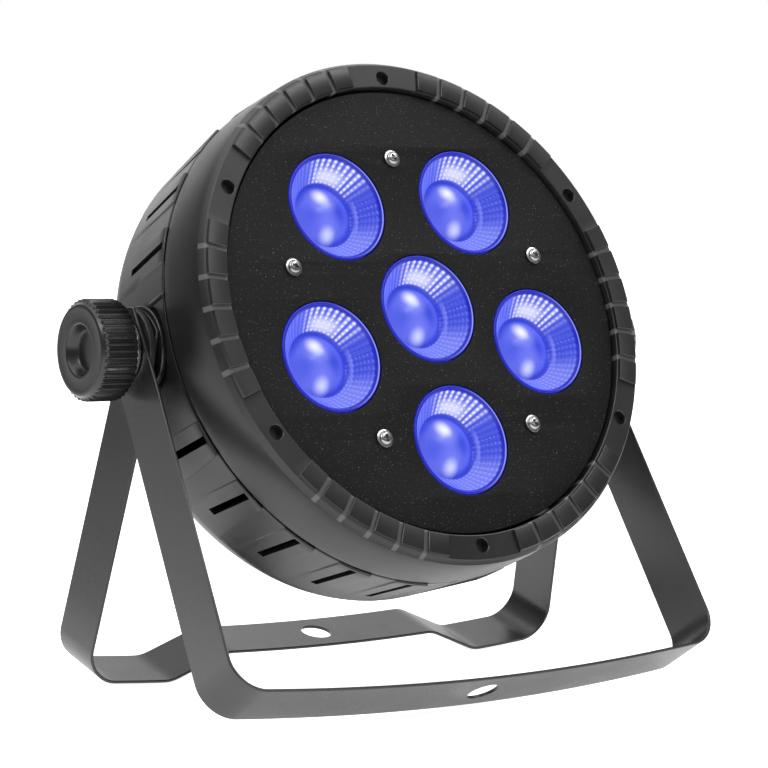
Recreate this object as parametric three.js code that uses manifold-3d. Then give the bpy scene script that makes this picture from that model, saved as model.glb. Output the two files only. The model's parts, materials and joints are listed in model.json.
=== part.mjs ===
// Flat LED par can light: a round head with six lenses, held between two nested U brackets
// that swing about one pivot axis and are clamped by a knob on each side.
// Units are millimetres. +Z is up, the light faces -Y, and +X is on the right seen from the front.
// Inside the head, "forward" is the distance along the beam from the pivot axis.

import * as THREE from 'three';
import { mergeVertices } from 'three/addons/utils/BufferGeometryUtils.js';
import Module from 'manifold-3d';

const wasm = await Module();
wasm.setup();

// ---------------------------------------------------------------- driving dimensions

const clearance = 0.3;

const pivotHeight = 131.1;
const pivotBack = 15.08;
const headTilt = 22.15;

const bezelOuterRadius = 101.0;
const bezelFaceRadius = 99.3;
const bezelInnerRadius = 89.9;
const bezelBack = 44.0;
const padFace = 46.6;
const blockFace = 48.0;
const blockOuterRadius = 98.9;
const blockInnerRadius = 90.4;
const blockGroups = 6;
const grooveCount = 5;
const groovePitch = 7.0;
const grooveWidth = 1.9;
const groupHalfAngle = 20.2;

const bezelScrewCircle = 94.0;
const bezelHoleRadius = 2.8;
const bezelPostRadius = 4.4;
const bezelPostBack = 34.0;
const screwSeat = 36.0;
const threadRadius = 1.8;

const bandFront = 43.7;
const bandBack = 21.9;
const bandBulgeRadius = 101.7;
const bandInnerRadius = 99.2;
const flangeBack = 41.2;

const rearFront = 20.2;
const rearBack = -28.0;
const rearLipRadius = 101.9;
const rearRimRadius = 98.2;
const rearRimForward = -23.0;
const rearWallRadius = 96.6;
const neckFront = 23.6;
const panelRise = 1.0;
const ventPitch = 14.4;
const ventFront = 18.9;
const ventRear = -10.0;
const ventWidth = 3.0;
const ventFirst = 1.5;
const ventTurn = 2.0;
const ventsPerQuarter = 5;
const ventPanelHalf = 4.0;
const ribOffset = 10.2;
const ribHeight = 0.8;

const plateRadius = 88.8;
const plateFace = 44.7;
const plateThickness = 2.0;
const plateTurn = 2.6;
const plateScrewCircle = 60.9;

const lensCount = 5;
const lensCircle = 52.4;
const lensOpening = 21.8;
const lensRadius = 21.4;
const lensFirstAngle = 54;

const ledBoardFront = 13.6;
const ledBoardRadius = 76.0;
const boardThickness = 1.6;
const carrierRadius = 86.0;
const carrierSpan = [29.0, 31.0];
const carrierPostRadius = 4.0;
const finCount = 9;
const finPitch = 13;
const finThickness = 2.2;
const finReach = 70;
const finBack = -7;

const knobFace = 128.3;
const knobBack = 113.5;
const knobRadius = 18.9;
const knobFaceRadius = 16.4;
const knobCrown = 1.4;
const knobFluteCount = 44;
const fluteDepth = 1.0;
const recessMouthRadius = 9.7;
const recessFloorRadius = 7.6;
const recessDepth = 4.3;
const hubRadius = 10.5;
const hubLength = 2.7;
const studRadius = 4.0;
const studHole = 4.4;
const studOuter = 121.0;

const stripThickness = 1.2;
const stripWidth = 25.0;
const bendRadius = 12;
const bendSteps = 5;
const boltHoleRadius = 6.3;
const armTopReach = 15.0;
const armShoulder = 10.8;
const armStraight = 20;

const frontArm = { pivotOffset: 108.6, barOffset: 113.5, reach: 142.4, bow: 6.1, swing: -33.2 };
const rearArm = { pivotOffset: 104.2, barOffset: 112.3, reach: 128.6, bow: 5.8, swing: 13.5 };
const rearJog = { rise: 11.3, topHalf: 51.0, footHalf: 75.0 };

const bossFace = 99.2;
const bossRadius = 16.2;
const spacerRadius = 15.1;
const washerRadius = 12.0;
const spotfaceRadius = 17.4;
const insertRadius = 6.7;
const insertInner = 81.0;
const studInner = 84.0;

const panelRadius = 76.0;
const panelOpening = 72.0;
const panelThickness = 1.5;
const displayHeight = 36.0;
const displaySize = [44.0, 18.0];
const buttonHeight = 16.0;
const buttonOffsets = [-27, -9, 9, 27];
const buttonRadius = 3.4;
const buttonTravel = 1.0;
const switchDepth = 3.6;
const socketOffset = 22.0;
const socketDepth = 15.0;
const powerHeight = -10.0;
const powerBody = [28.0, 20.4];
const powerRecess = [23.0, 15.4];
const signalHeight = -44.0;
const signalRadius = 11.0;
const signalRecess = 9.4;
const poleCircle = 5.0;
const flangeStand = 2.3;

// ---------------------------------------------------------------- materials

function finish(color, roughness, metalness) {
  return new THREE.MeshStandardMaterial({ color, roughness, metalness });
}

const mouldedBlack = finish(0x1b1b1c, 0.5, 0.0);
const powderBlack = finish(0x202021, 0.55, 0.1);
const plateBlack = finish(0x161616, 0.7, 0.1);
const knobBlack = finish(0x1a1a1a, 0.4, 0.0);
const rubberBlack = finish(0x232323, 0.8, 0.0);
const zincSteel = finish(0xb9bcc0, 0.3, 1.0);
const brassInsert = finish(0xb08d4a, 0.35, 1.0);
const bareAluminium = finish(0xaeb2b6, 0.4, 1.0);
const lensBlue = finish(0x2a35ff, 0.1, 0.0);
const emitterYellow = finish(0xe6d98a, 0.4, 0.0);
const boardGreen = finish(0x1f5a34, 0.5, 0.0);
const windowSmoke = finish(0x140808, 0.1, 0.0);
const socketBlack = finish(0x121213, 0.45, 0.0);
const buttonGrey = finish(0x303032, 0.5, 0.0);

// ---------------------------------------------------------------- shape helpers

const rad = THREE.MathUtils.degToRad;

// Merges shared corners, drops collapsed triangles and turns every face outwards.
function closed(geometry) {
  const bare = geometry.clone();
  bare.deleteAttribute('normal');
  bare.deleteAttribute('uv');
  const merged = mergeVertices(bare, 1e-4);
  const index = merged.index.array;
  const place = merged.attributes.position;
  const corners = [];
  const a = new THREE.Vector3();
  const b = new THREE.Vector3();
  const c = new THREE.Vector3();
  let volume = 0;
  for (let i = 0; i < index.length; i += 3) {
    const [p, q, r] = [index[i], index[i + 1], index[i + 2]];
    if (p === q || q === r || r === p) continue;
    corners.push(p, q, r);
    a.fromBufferAttribute(place, p);
    b.fromBufferAttribute(place, q);
    c.fromBufferAttribute(place, r);
    volume += a.dot(b.cross(c));
  }
  if (volume < 0) corners.reverse();
  merged.setIndex(corners);
  return merged;
}

function solid(geometry) {
  const shape = closed(geometry);
  const vertProperties = new Float32Array(shape.attributes.position.array);
  const triVerts = new Uint32Array(shape.index.array);
  return new wasm.Manifold(new wasm.Mesh({ numProp: 3, vertProperties, triVerts }));
}

function surface(body) {
  const mesh = body.getMesh();
  const geometry = new THREE.BufferGeometry();
  geometry.setAttribute('position', new THREE.BufferAttribute(mesh.vertProperties, 3));
  geometry.setIndex(new THREE.BufferAttribute(mesh.triVerts, 1));
  return geometry;
}

function joined(shapes) {
  return shapes.map(solid).reduce((whole, next) => whole.add(next));
}

function joinedTo(body, shapes) {
  return shapes.map(solid).reduce((whole, next) => whole.add(next), body);
}

function cutAway(body, shapes) {
  return shapes.map(solid).reduce((whole, next) => whole.subtract(next), body);
}

// A solid of revolution about the beam; the profile is a list of [radius, forward].
function turned(profile, segments) {
  const points = profile.map(([radius, forward]) => new THREE.Vector2(radius, -forward));
  return new THREE.LatheGeometry(points, segments);
}

// The same profile closed on itself, for rings.
function ring(profile, segments) {
  return turned([...profile, profile[0]], segments);
}

// A round rod along the beam, or a cone when the two radii differ.
function rod(x, z, backward, forward, radius, segments, rearRadius = radius) {
  const shape = new THREE.CylinderGeometry(rearRadius, radius, forward - backward, segments);
  return shape.translate(x, -(forward + backward) / 2, z);
}

// A block in head coordinates: x and z centre, sizes, and the span along the beam.
function block(x, z, width, height, backward, forward) {
  const shape = new THREE.BoxGeometry(width, forward - backward, height);
  return shape.translate(x, -(forward + backward) / 2, z);
}

// A flat plate with the given outline in x and z, filling the span along the beam.
function plate(outline, backward, forward, curveSegments) {
  const options = { depth: forward - backward, bevelEnabled: false, curveSegments };
  const shape = new THREE.ExtrudeGeometry(outline, options);
  return shape.rotateX(Math.PI / 2).translate(0, -backward, 0);
}

// A block bent round the beam: from one angle to another, between an inner radius and an
// outer radius given by a function of the position across (0 to 1) and along (0 rear, 1 front).
function bentBlock(fromAngle, toAngle, innerRadius, outerRadius, backward, forward, steps) {
  const shape = new THREE.BoxGeometry(1, 1, 1, steps, 1, 1);
  const place = shape.attributes.position;
  for (let i = 0; i < place.count; i += 1) {
    const across = place.getX(i) + 0.5;
    const along = place.getY(i) + 0.5;
    const angle = rad(fromAngle + (toAngle - fromAngle) * across);
    const radius = place.getZ(i) > 0 ? outerRadius(across, along) : innerRadius;
    const out = backward + (forward - backward) * along;
    place.setXYZ(i, radius * Math.cos(angle), -out, radius * Math.sin(angle));
  }
  return shape;
}

// A ring or disc on the pivot axis; the profile is a list of [radius, distance outwards].
function sideTurned(profile, side, segments) {
  const points = profile.map(([radius, outward]) => new THREE.Vector2(radius, outward));
  return new THREE.LatheGeometry(points, segments).rotateZ(-side * Math.PI / 2);
}

function sideRing(innerRadius, outerRadius, from, to, side, segments) {
  const profile = [[innerRadius, from], [outerRadius, from], [outerRadius, to], [innerRadius, to]];
  return sideTurned([...profile, profile[0]], side, segments);
}

function sideRod(radius, from, to, side, segments) {
  return sideTurned([[0, from], [radius, from], [radius, to], [0, to]], side, segments);
}

function onCircle(radius, angle) {
  return [radius * Math.cos(rad(angle)), radius * Math.sin(rad(angle))];
}

function evenly(count, first = 0, span = 360) {
  return Array.from({ length: count }, (unused, i) => first + (i * span) / count);
}

// ---------------------------------------------------------------- scene groups

const light = new THREE.Group();
const pivot = new THREE.Group();
pivot.position.set(0, pivotBack, pivotHeight);
light.add(pivot);

const head = new THREE.Group();
head.rotation.x = -rad(headTilt);
pivot.add(head);

function add(parent, name, shape, material) {
  const geometry = shape.isBufferGeometry ? closed(shape) : surface(shape);
  geometry.computeVertexNormals();
  const mesh = new THREE.Mesh(geometry, material);
  mesh.name = name;
  parent.add(mesh);
  return mesh;
}

// ---------------------------------------------------------------- bezel

const bezelScrewCentres = evenly(6, 90).map((angle) => onCircle(bezelScrewCircle, angle));
const groupAngles = evenly(blockGroups, 0);

function bezel() {
  const base = ring([
    [bezelInnerRadius, bezelBack],
    [bezelOuterRadius, bezelBack],
    [bezelFaceRadius, padFace],
    [bezelInnerRadius, padFace],
  ], 60);
  const blocks = groupAngles.map(blockGroup);
  const grooves = groupAngles.flatMap(grooveShapes);
  return cutAway(joined([base, ...blocks, ...bezelPosts()]), [...grooves, ...bezelHoles()]);
}

// One raised group of blocks, its outer wall leaning inwards a little.
function blockGroup(angle) {
  const outer = (across, along) => blockOuterRadius + (1 - along) * 0.35;
  return bentBlock(angle - groupHalfAngle, angle + groupHalfAngle, blockInnerRadius, outer,
    padFace - 0.3, blockFace, 5);
}

function bezelPosts() {
  return bezelScrewCentres.map(([x, z]) => rod(x, z, bezelPostBack, bezelBack + 0.5, bezelPostRadius, 10));
}

function bezelHoles() {
  return bezelScrewCentres.flatMap(([x, z]) => [
    rod(x, z, screwSeat, blockFace + 1, bezelHoleRadius, 14),
    rod(x, z, bezelPostBack - 1, screwSeat + 1, threadRadius, 8),
  ]);
}

function grooveShapes(groupAngle) {
  const middle = (grooveCount - 1) / 2;
  return Array.from({ length: grooveCount }, (unused, i) => {
    const cutter = new THREE.BoxGeometry(12, 3, grooveWidth);
    cutter.translate(bezelScrewCircle + 1.6, -(padFace + 0.2) - 1.5, 0);
    return cutter.rotateY(-rad(groupAngle + (i - middle) * groovePitch));
  });
}

add(head, 'front_bezel', bezel(), mouldedBlack);

// ---------------------------------------------------------------- front plate and its screws

const lensAngles = evenly(lensCount, lensFirstAngle).map((angle) => angle + plateTurn);
const lensCentres = [...lensAngles.map((angle) => onCircle(lensCircle, angle)), [0, 0]];
const plateScrewAngles = evenly(lensCount, 90).map((angle) => angle + plateTurn);
const plateScrewCentres = plateScrewAngles.map((angle) => onCircle(plateScrewCircle, angle));

function circleHole(x, z, radius) {
  const hole = new THREE.Path();
  hole.absarc(x, z, radius, 0, 2 * Math.PI, true);
  return hole;
}

function disc(radius, holes) {
  const outline = new THREE.Shape();
  outline.absarc(0, 0, radius, 0, 2 * Math.PI, false);
  outline.holes.push(...holes);
  return outline;
}

const plateHoles = [
  ...lensCentres.map(([x, z]) => circleHole(x, z, lensOpening)),
  ...plateScrewCentres.map(([x, z]) => circleHole(x, z, 2.0)),
];
const frontPlate = plate(disc(plateRadius, plateHoles), plateFace - plateThickness, plateFace, 11);
add(head, 'front_plate', frontPlate, plateBlack);

// A pan head screw with a cross recess; headTop and headBottom are distances along the beam.
function screw(x, z, tip, headBottom, headTop, headRadius, shankRadius) {
  const headShape = turned([
    [0, tip],
    [shankRadius, tip],
    [shankRadius, headBottom],
    [headRadius, headBottom],
    [headRadius, headTop - 0.7],
    [headRadius * 0.72, headTop],
    [0, headTop],
  ], 10).translate(x, 0, z);
  const slots = [[headRadius, 0.7], [0.7, headRadius]].map(
    ([width, height]) => block(x, z, width, height, headTop - 1.0, headTop + 1));
  return cutAway(solid(headShape), slots);
}

plateScrewCentres.forEach(([x, z], i) => {
  const shape = screw(x, z, 36.0, plateFace + clearance, plateFace + 2.3, 3.4, 1.6);
  add(head, `plate_screw_${i + 1}`, shape, zincSteel);
});

bezelScrewCentres.forEach(([x, z], i) => {
  const shape = screw(x, z, 25.0, screwSeat + clearance, screwSeat + 2.4, 2.4, 1.5);
  add(head, `bezel_screw_${i + 1}`, shape, zincSteel);
});

// ---------------------------------------------------------------- front shell (plain band)

function frontShell() {
  const shell = ring([
    [90.5, flangeBack],
    [90.5, bandFront],
    [100.8, bandFront],
    [bandBulgeRadius, 34.0],
    [101.9, bandBack],
    [bandInnerRadius, bandBack],
    [bandInnerRadius, 38.0],
    [98.2, flangeBack],
  ], 60);
  const bosses = bezelScrewCentres.map(
    ([x, z]) => rod(x, z, bandBack + 2.5, bezelPostBack - clearance, 5.6, 8));
  const holes = bezelScrewCentres.flatMap(([x, z]) => [
    rod(x, z, bandBack + 2, bezelPostBack, threadRadius, 8),
    rod(x, z, flangeBack - 1, bandFront + 1, bezelPostRadius + clearance, 12),
  ]);
  return cutAway(joined([shell, ...bosses]), holes);
}

add(head, 'front_shell', frontShell(), mouldedBlack);

// ---------------------------------------------------------------- rear shell with vents

// Angles of the vents from an axis turned slightly from the pivot axis, mirrored into all four quarters.
const ventOffsets = Array.from({ length: ventsPerQuarter }, (unused, i) => (ventFirst + i) * ventPitch);

function quarters(offset) {
  return [
    { angle: ventTurn + offset, turn: 1 },
    { angle: ventTurn + 180 - offset, turn: -1 },
    { angle: ventTurn + 180 + offset, turn: 1 },
    { angle: ventTurn - offset, turn: -1 },
  ];
}

// Radius of the plain rear shell at a distance along the beam.
function rearRadiusAt(forward) {
  const share = (forward - rearRimForward) / (rearFront - rearRimForward);
  return rearRimRadius + (rearLipRadius - rearRimRadius) * share;
}

// A raised facet round one vent. It is highest at its far edge and at the front.
function ventPanel({ angle, turn }) {
  const outer = (across, along) => {
    const plain = rearRadiusAt(rearRimForward + along * (rearFront - rearRimForward));
    return plain + panelRise * along * (0.3 + 0.7 * across) - 0.05 * (1 - along);
  };
  const half = turn * ventPanelHalf;
  return bentBlock(angle - half, angle + half, rearWallRadius, outer, rearRimForward, rearFront, 1);
}

function ventCut({ angle }) {
  const cutter = new THREE.BoxGeometry(12, ventFront - ventRear, ventWidth);
  return cutter.translate(100, -(ventFront + ventRear) / 2, 0).rotateY(-rad(angle));
}

// A low rib above or below each pivot boss.
function cheekRib({ angle }) {
  const start = rearRimForward + 3;
  const outer = (across, along) => rearRadiusAt(start + along * (rearFront - start)) + ribHeight;
  return bentBlock(angle - 0.4, angle + 0.4, rearWallRadius, outer, start, rearFront, 1);
}

function rearShell() {
  const shell = ring([
    [rearLipRadius, rearFront],
    [rearRimRadius, rearRimForward],
    [97.2, -25.8],
    [94.4, rearBack],
    [panelRadius + clearance, rearBack],
    [panelRadius + clearance, rearBack + 1.8],
    [panelOpening, rearBack + 1.8],
    [panelOpening, rearBack + 3.6],
    [93.4, rearBack + 3.6],
    [95.2, rearRimForward + 1],
    [rearWallRadius - 0.2, neckFront],
    [98.8, neckFront],
    [98.8, rearFront],
  ], 50);
  const panels = ventOffsets.flatMap(quarters).map(ventPanel);
  const ribs = quarters(ribOffset).map(cheekRib);
  const bosses = [-1, 1].map((side) => sideRod(spotfaceRadius + 0.6, 90.0, bossFace - 0.3, side, 24));
  const body = joined([shell, ...panels, ...ribs, ...bosses]);
  const vents = ventOffsets.flatMap(quarters).map(ventCut);
  const faces = [-1, 1].map((side) => sideRod(spotfaceRadius, bossFace, 110, side, 32));
  const bores = [-1, 1].map((side) => sideRod(insertRadius + clearance, 80, 110, side, 16));
  return cutAway(body, [...vents, ...faces, ...bores]);
}

add(head, 'rear_shell', rearShell(), mouldedBlack);

// ---------------------------------------------------------------- lenses, emitters and boards

const lensBack = ledBoardFront + 2.2;

lensCentres.forEach(([x, z], i) => {
  const lens = turned([
    [0, lensBack + 3.0],
    [4.2, lensBack + 3.0],
    [5.0, lensBack],
    [6.4, lensBack],
    [12.6, lensBack + 9.0],
    [19.6, 40.2],
    [lensRadius, 40.2],
    [lensRadius, 44.6],
    [10.5, 44.0],
    [0, 45.2],
  ], 16).translate(x, 0, z);
  add(head, `lens_${i + 1}`, lens, lensBlue);
});

lensCentres.forEach(([x, z], i) => {
  const emitter = turned([
    [0, ledBoardFront + clearance],
    [4.6, ledBoardFront + clearance],
    [4.6, ledBoardFront + 1.3],
    [2.8, ledBoardFront + 1.7],
    [0, ledBoardFront + 2.0],
  ], 16).translate(x, 0, z);
  add(head, `led_emitter_${i + 1}`, emitter, emitterYellow);
});

const carrierHoles = lensCentres.map(([x, z]) => circleHole(x, z, 15.9));
const carrierFront = plateFace - plateThickness - clearance;
const carrier = cutAway(
  joined([
    plate(disc(carrierRadius, carrierHoles), ...carrierSpan, 6),
    ...plateScrewCentres.map(([x, z]) => rod(x, z, carrierSpan[0] + 1, carrierFront, carrierPostRadius, 8)),
  ]),
  plateScrewCentres.map(([x, z]) => rod(x, z, carrierSpan[1] + 3, plateFace, threadRadius + 0.1, 8)),
);
add(head, 'lens_carrier', carrier, mouldedBlack);

const ledBoardBack = ledBoardFront - boardThickness;
const ledBoard = turned([
  [0, ledBoardBack],
  [ledBoardRadius, ledBoardBack],
  [ledBoardRadius, ledBoardFront],
  [0, ledBoardFront],
], 36);
add(head, 'led_board', ledBoard, bareAluminium);

function heatSink() {
  const front = ledBoardBack - clearance;
  const base = turned([
    [0, front - 4],
    [ledBoardRadius, front - 4],
    [ledBoardRadius, front],
    [0, front],
  ], 36);
  const fins = Array.from({ length: finCount }, (unused, i) => {
    const x = (i - (finCount - 1) / 2) * finPitch;
    const height = 2 * Math.sqrt(finReach ** 2 - x ** 2);
    return block(x, 0, finThickness, height, finBack, front - 3.5);
  });
  return joined([base, ...fins]);
}

add(head, 'heat_sink', heatSink(), bareAluminium);

// A circuit board with its tall components standing on its front face. Each component is
// [offset in x, offset in z, width, height, rise above the board].
function circuitBoard({ x, z, width, height, backward, components }) {
  const front = backward + boardThickness;
  const board = block(x, z, width, height, backward, front);
  const tall = components.map(
    ([dx, dz, w, h, rise]) => block(x + dx, z + dz, w, h, front - 0.6, front + rise));
  return joined([board, ...tall]);
}

const supplyBoard = circuitBoard({
  x: -57,
  z: -6,
  width: 32,
  height: 84,
  backward: -17.5,
  components: [[0, -28, 20, 16, 6], [1, 0, 22, 22, 5.4], [-2, 26, 14, 14, 6.2]],
});
add(head, 'power_supply_board', supplyBoard, boardGreen);

const driverBoard = circuitBoard({
  x: 57,
  z: -6,
  width: 30,
  height: 84,
  backward: -17.5,
  components: [[0, -30, 12, 10, 5], [2, -10, 16, 14, 4], [0, 12, 14, 16, 3.5], [2, 32, 10, 8, 4.5]],
});
add(head, 'driver_board', driverBoard, boardGreen);

// ---------------------------------------------------------------- rear panel and its fittings

const panelFace = rearBack;
const panelBack = rearBack + panelThickness;

function rearPanel() {
  const span = [panelFace - 1, panelBack + 1];
  const buttons = buttonOffsets.map((x) => rod(x, buttonHeight, ...span, buttonRadius + clearance, 16));
  const sockets = [-socketOffset, socketOffset].flatMap((x) => [
    block(x, powerHeight, ...powerBody, ...span),
    rod(x, signalHeight, ...span, signalRadius + clearance, 24),
  ]);
  const display = block(0, displayHeight, ...displaySize, ...span);
  const sheet = solid(plate(disc(panelRadius, []), panelFace, panelBack, 18));
  return cutAway(sheet, [display, ...buttons, ...sockets]);
}

add(head, 'rear_panel', rearPanel(), plateBlack);

const [displayWidth, displayTall] = displaySize;
const displayWindow = joined([
  block(0, displayHeight, displayWidth - 0.6, displayTall - 0.6, panelFace - 0.4, panelBack + 0.8),
  block(0, displayHeight, displayWidth + 4, displayTall + 4, panelBack + clearance, panelBack + 1.5),
]);
add(head, 'display_window', displayWindow, windowSmoke);

// The board behind the panel, with the digit block behind the window and one switch for each button.
function displayModule() {
  const board = block(0, 27, 74, 38, panelBack + 6.0, panelBack + 6.0 + boardThickness);
  const digits = block(0, displayHeight, 36, 14, panelBack + 2.0, panelBack + 6.5);
  const switches = buttonOffsets.map(
    (x) => block(x, buttonHeight, 6, 6, panelBack + switchDepth, panelBack + 6.5));
  return joined([board, digits, ...switches]);
}

add(head, 'display_board', displayModule(), boardGreen);

buttonOffsets.forEach((x, i) => {
  const stem = panelBack + switchDepth - buttonTravel - clearance;
  const button = turned([
    [0, panelFace - 1.4],
    [buttonRadius - 0.5, panelFace - 1.4],
    [buttonRadius, panelFace - 0.9],
    [buttonRadius, panelBack + clearance],
    [buttonRadius + 1.2, panelBack + clearance],
    [buttonRadius + 1.2, panelBack + 1.1],
    [1.6, panelBack + 1.1],
    [1.6, stem],
    [0, stem],
  ], 10).translate(x, 0, buttonHeight);
  add(head, `menu_button_${i + 1}`, button, buttonGrey);
});

// ---------------------------------------------------------------- mains sockets

// Contact places seen from behind the panel, as [offset in x, offset in z].
const mainsContacts = [[-7, -1], [7, -1], [0, 4]];

function mainsBody(x) {
  const [width, height] = powerBody;
  return joined([
    block(x, powerHeight, width - 0.6, height - 0.6, panelFace - 1.5, panelBack + socketDepth),
    block(x, powerHeight, width + 5, height + 5, panelFace - flangeStand, panelFace - clearance),
  ]);
}

// The inlet is a recess with three blades standing in it.
function mainsInlet(x) {
  const recess = block(x, powerHeight, ...powerRecess, panelFace - 5, panelBack + socketDepth - 4);
  const blades = mainsContacts.map(([dx, dz]) => block(
    x + dx, powerHeight + dz, 2.0, 4.0, panelFace + 1, panelBack + socketDepth - 3));
  return joinedTo(cutAway(mainsBody(x), [recess]), blades);
}

// The outlet has three narrow slots in its face.
function mainsOutlet(x) {
  const slots = mainsContacts.map(([dx, dz]) => block(
    x + dx, powerHeight + dz, 2.2, 4.4, panelFace - 5, panelBack + socketDepth - 5));
  return cutAway(mainsBody(x), slots);
}

add(head, 'power_inlet', mainsInlet(socketOffset), socketBlack);
add(head, 'power_outlet', mainsOutlet(-socketOffset), socketBlack);

// ---------------------------------------------------------------- signal sockets

// A round three pole socket with a square flange.
function signalBody(x) {
  return joined([
    rod(x, signalHeight, panelFace - 1.5, panelBack + socketDepth, signalRadius, 18),
    block(x, signalHeight, 26, 29, panelFace - flangeStand, panelFace - clearance),
  ]);
}

function poles(x, radius, backward, forward) {
  return [0, 90, 180].map((angle) => {
    const [dx, dz] = onCircle(poleCircle, angle);
    return rod(x + dx, signalHeight + dz, backward, forward, radius, 6);
  });
}

function signalInput(x) {
  const recess = rod(x, signalHeight, panelFace - 5, panelBack + socketDepth - 4, signalRecess, 18);
  const pins = poles(x, 1.2, panelFace + 1, panelBack + socketDepth - 3);
  return joinedTo(cutAway(signalBody(x), [recess]), pins);
}

function signalOutput(x) {
  return cutAway(signalBody(x), poles(x, 1.4, panelFace - 5, panelBack + socketDepth - 5));
}

add(head, 'dmx_in_socket', signalInput(socketOffset), socketBlack);
add(head, 'dmx_out_socket', signalOutput(-socketOffset), socketBlack);

// ---------------------------------------------------------------- brackets

// Turns a centre line into a closed outline of even thickness.
function stripOutline(centreLine, thickness) {
  const sides = centreLine.map((point, i) => {
    const before = centreLine[Math.max(i - 1, 0)];
    const after = centreLine[Math.min(i + 1, centreLine.length - 1)];
    const inward = point.clone().sub(before).normalize();
    const onward = after.clone().sub(point).normalize();
    if (i === 0) inward.copy(onward);
    if (i === centreLine.length - 1) onward.copy(inward);
    const along = inward.clone().add(onward).normalize();
    const mitre = Math.max(along.dot(inward), 0.5);
    return new THREE.Vector2(-along.y, along.x).multiplyScalar(thickness / 2 / mitre);
  });
  const left = centreLine.map((point, i) => point.clone().add(sides[i]));
  const right = centreLine.map((point, i) => point.clone().sub(sides[i]));
  return new THREE.Shape([...left, ...right.reverse()]);
}

// Points of the right half of the bar, from the middle outwards, as [x, drop below the reach].
function barHalf(arm, jog) {
  const bowed = (x) => arm.bow * (1 - (x / arm.barOffset) ** 2);
  const last = arm.barOffset - bendRadius;
  if (!jog) return [18, 34, 50, 66, 82, last].map((x) => [x, bowed(x)]);
  const raised = [18, 34, jog.topHalf].map((x) => [x, bowed(x) - jog.rise]);
  const low = [jog.footHalf, 86, last].map((x) => [x, bowed(x)]);
  return [...raised, ...low];
}

// Half of the centre line: along the bar, round the bend and up the arm to its top.
function halfLine(arm, jog) {
  const half = stripThickness / 2;
  const slant = Math.atan2(arm.barOffset - arm.pivotOffset, arm.reach);
  const bend = Array.from({ length: bendSteps }, (unused, i) => {
    const turn = ((i + 1) / bendSteps) * (Math.PI / 2 + slant * 0.5);
    const x = arm.barOffset - half - bendRadius + bendRadius * Math.sin(turn);
    const z = -arm.reach + half + bendRadius * (1 - Math.cos(turn));
    return [x, z];
  });
  const bar = barHalf(arm, jog).map(([x, drop]) => [x - half, -arm.reach + half - drop]);
  const top = [[arm.pivotOffset - half, -armStraight], [arm.pivotOffset - half, armTopReach + 1]];
  return [...bar, ...bend, ...top];
}

function bracket(arm, jog) {
  const right = halfLine(arm, jog);
  const left = right.map(([x, z]) => [-x, z]).reverse();
  const centreLine = [...left, ...right].map(([x, z]) => new THREE.Vector2(x, z));
  const depth = stripWidth + 6;
  const outline = stripOutline(centreLine, stripThickness);
  const strip = new THREE.ExtrudeGeometry(outline, { depth, bevelEnabled: false });
  strip.rotateX(Math.PI / 2).translate(0, depth / 2, 0);
  const pivotHoles = [-1, 1].map((side) => sideRod(studHole, 90, 120, side, 24));
  const boltHole = new THREE.CylinderGeometry(boltHoleRadius, boltHoleRadius, 60, 24);
  boltHole.rotateX(Math.PI / 2).translate(0, 0, -arm.reach);
  return cutAway(solid(strip).intersect(solid(widthProfile(arm))), [...pivotHoles, boltHole]);
}

// The strip seen from the side: straight edges with a gently rounded top.
function widthProfile(arm) {
  const half = stripWidth / 2;
  const outline = new THREE.Shape();
  outline.moveTo(-half, -arm.reach - 20);
  outline.lineTo(half, -arm.reach - 20);
  outline.lineTo(half, armShoulder);
  outline.quadraticCurveTo(half * 0.55, armTopReach, 0, armTopReach);
  outline.quadraticCurveTo(-half * 0.55, armTopReach, -half, armShoulder);
  const options = { depth: 300, bevelEnabled: false, curveSegments: 5 };
  const shape = new THREE.ExtrudeGeometry(outline, options);
  return shape.rotateX(Math.PI / 2).rotateZ(Math.PI / 2).translate(-150, 0, 0);
}

function bracketGroup(arm) {
  const group = new THREE.Group();
  group.rotation.x = rad(arm.swing);
  pivot.add(group);
  return group;
}

add(bracketGroup(frontArm), 'front_bracket', bracket(frontArm, null), powderBlack);
add(bracketGroup(rearArm), 'rear_bracket', bracket(rearArm, rearJog), powderBlack);

// ---------------------------------------------------------------- pivot hardware on both sides

function knob(side) {
  const valleyRadius = knobRadius - fluteDepth;
  const outline = new THREE.Shape(evenly(knobFluteCount * 2).map((angle, i) => {
    const [x, y] = onCircle(i % 2 ? valleyRadius : knobRadius, angle);
    return new THREE.Vector2(x, y);
  }));
  const gripFront = knobFace - knobCrown;
  const grip = new THREE.ExtrudeGeometry(outline, { depth: gripFront - knobBack, bevelEnabled: false });
  const start = side > 0 ? knobBack : -gripFront;
  grip.rotateY(Math.PI / 2).translate(start, 0, 0);
  const crown = sideTurned([
    [0, gripFront - 1],
    [valleyRadius - 0.2, gripFront - 1],
    [valleyRadius - 0.2, gripFront],
    [knobFaceRadius, knobFace],
    [0, knobFace],
  ], side, 32);
  const hub = sideRod(hubRadius, knobBack - hubLength, knobBack + 1, side, 20);
  const recess = sideTurned([
    [0, knobFace - recessDepth],
    [recessFloorRadius, knobFace - recessDepth],
    [recessMouthRadius, knobFace],
    [recessMouthRadius + 0.2, knobFace + 1],
    [0, knobFace + 1],
  ], side, 24);
  const bore = sideRod(studRadius + clearance, 100, studOuter + clearance, side, 14);
  return cutAway(joined([grip, crown, hub]), [recess, bore]);
}

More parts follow.
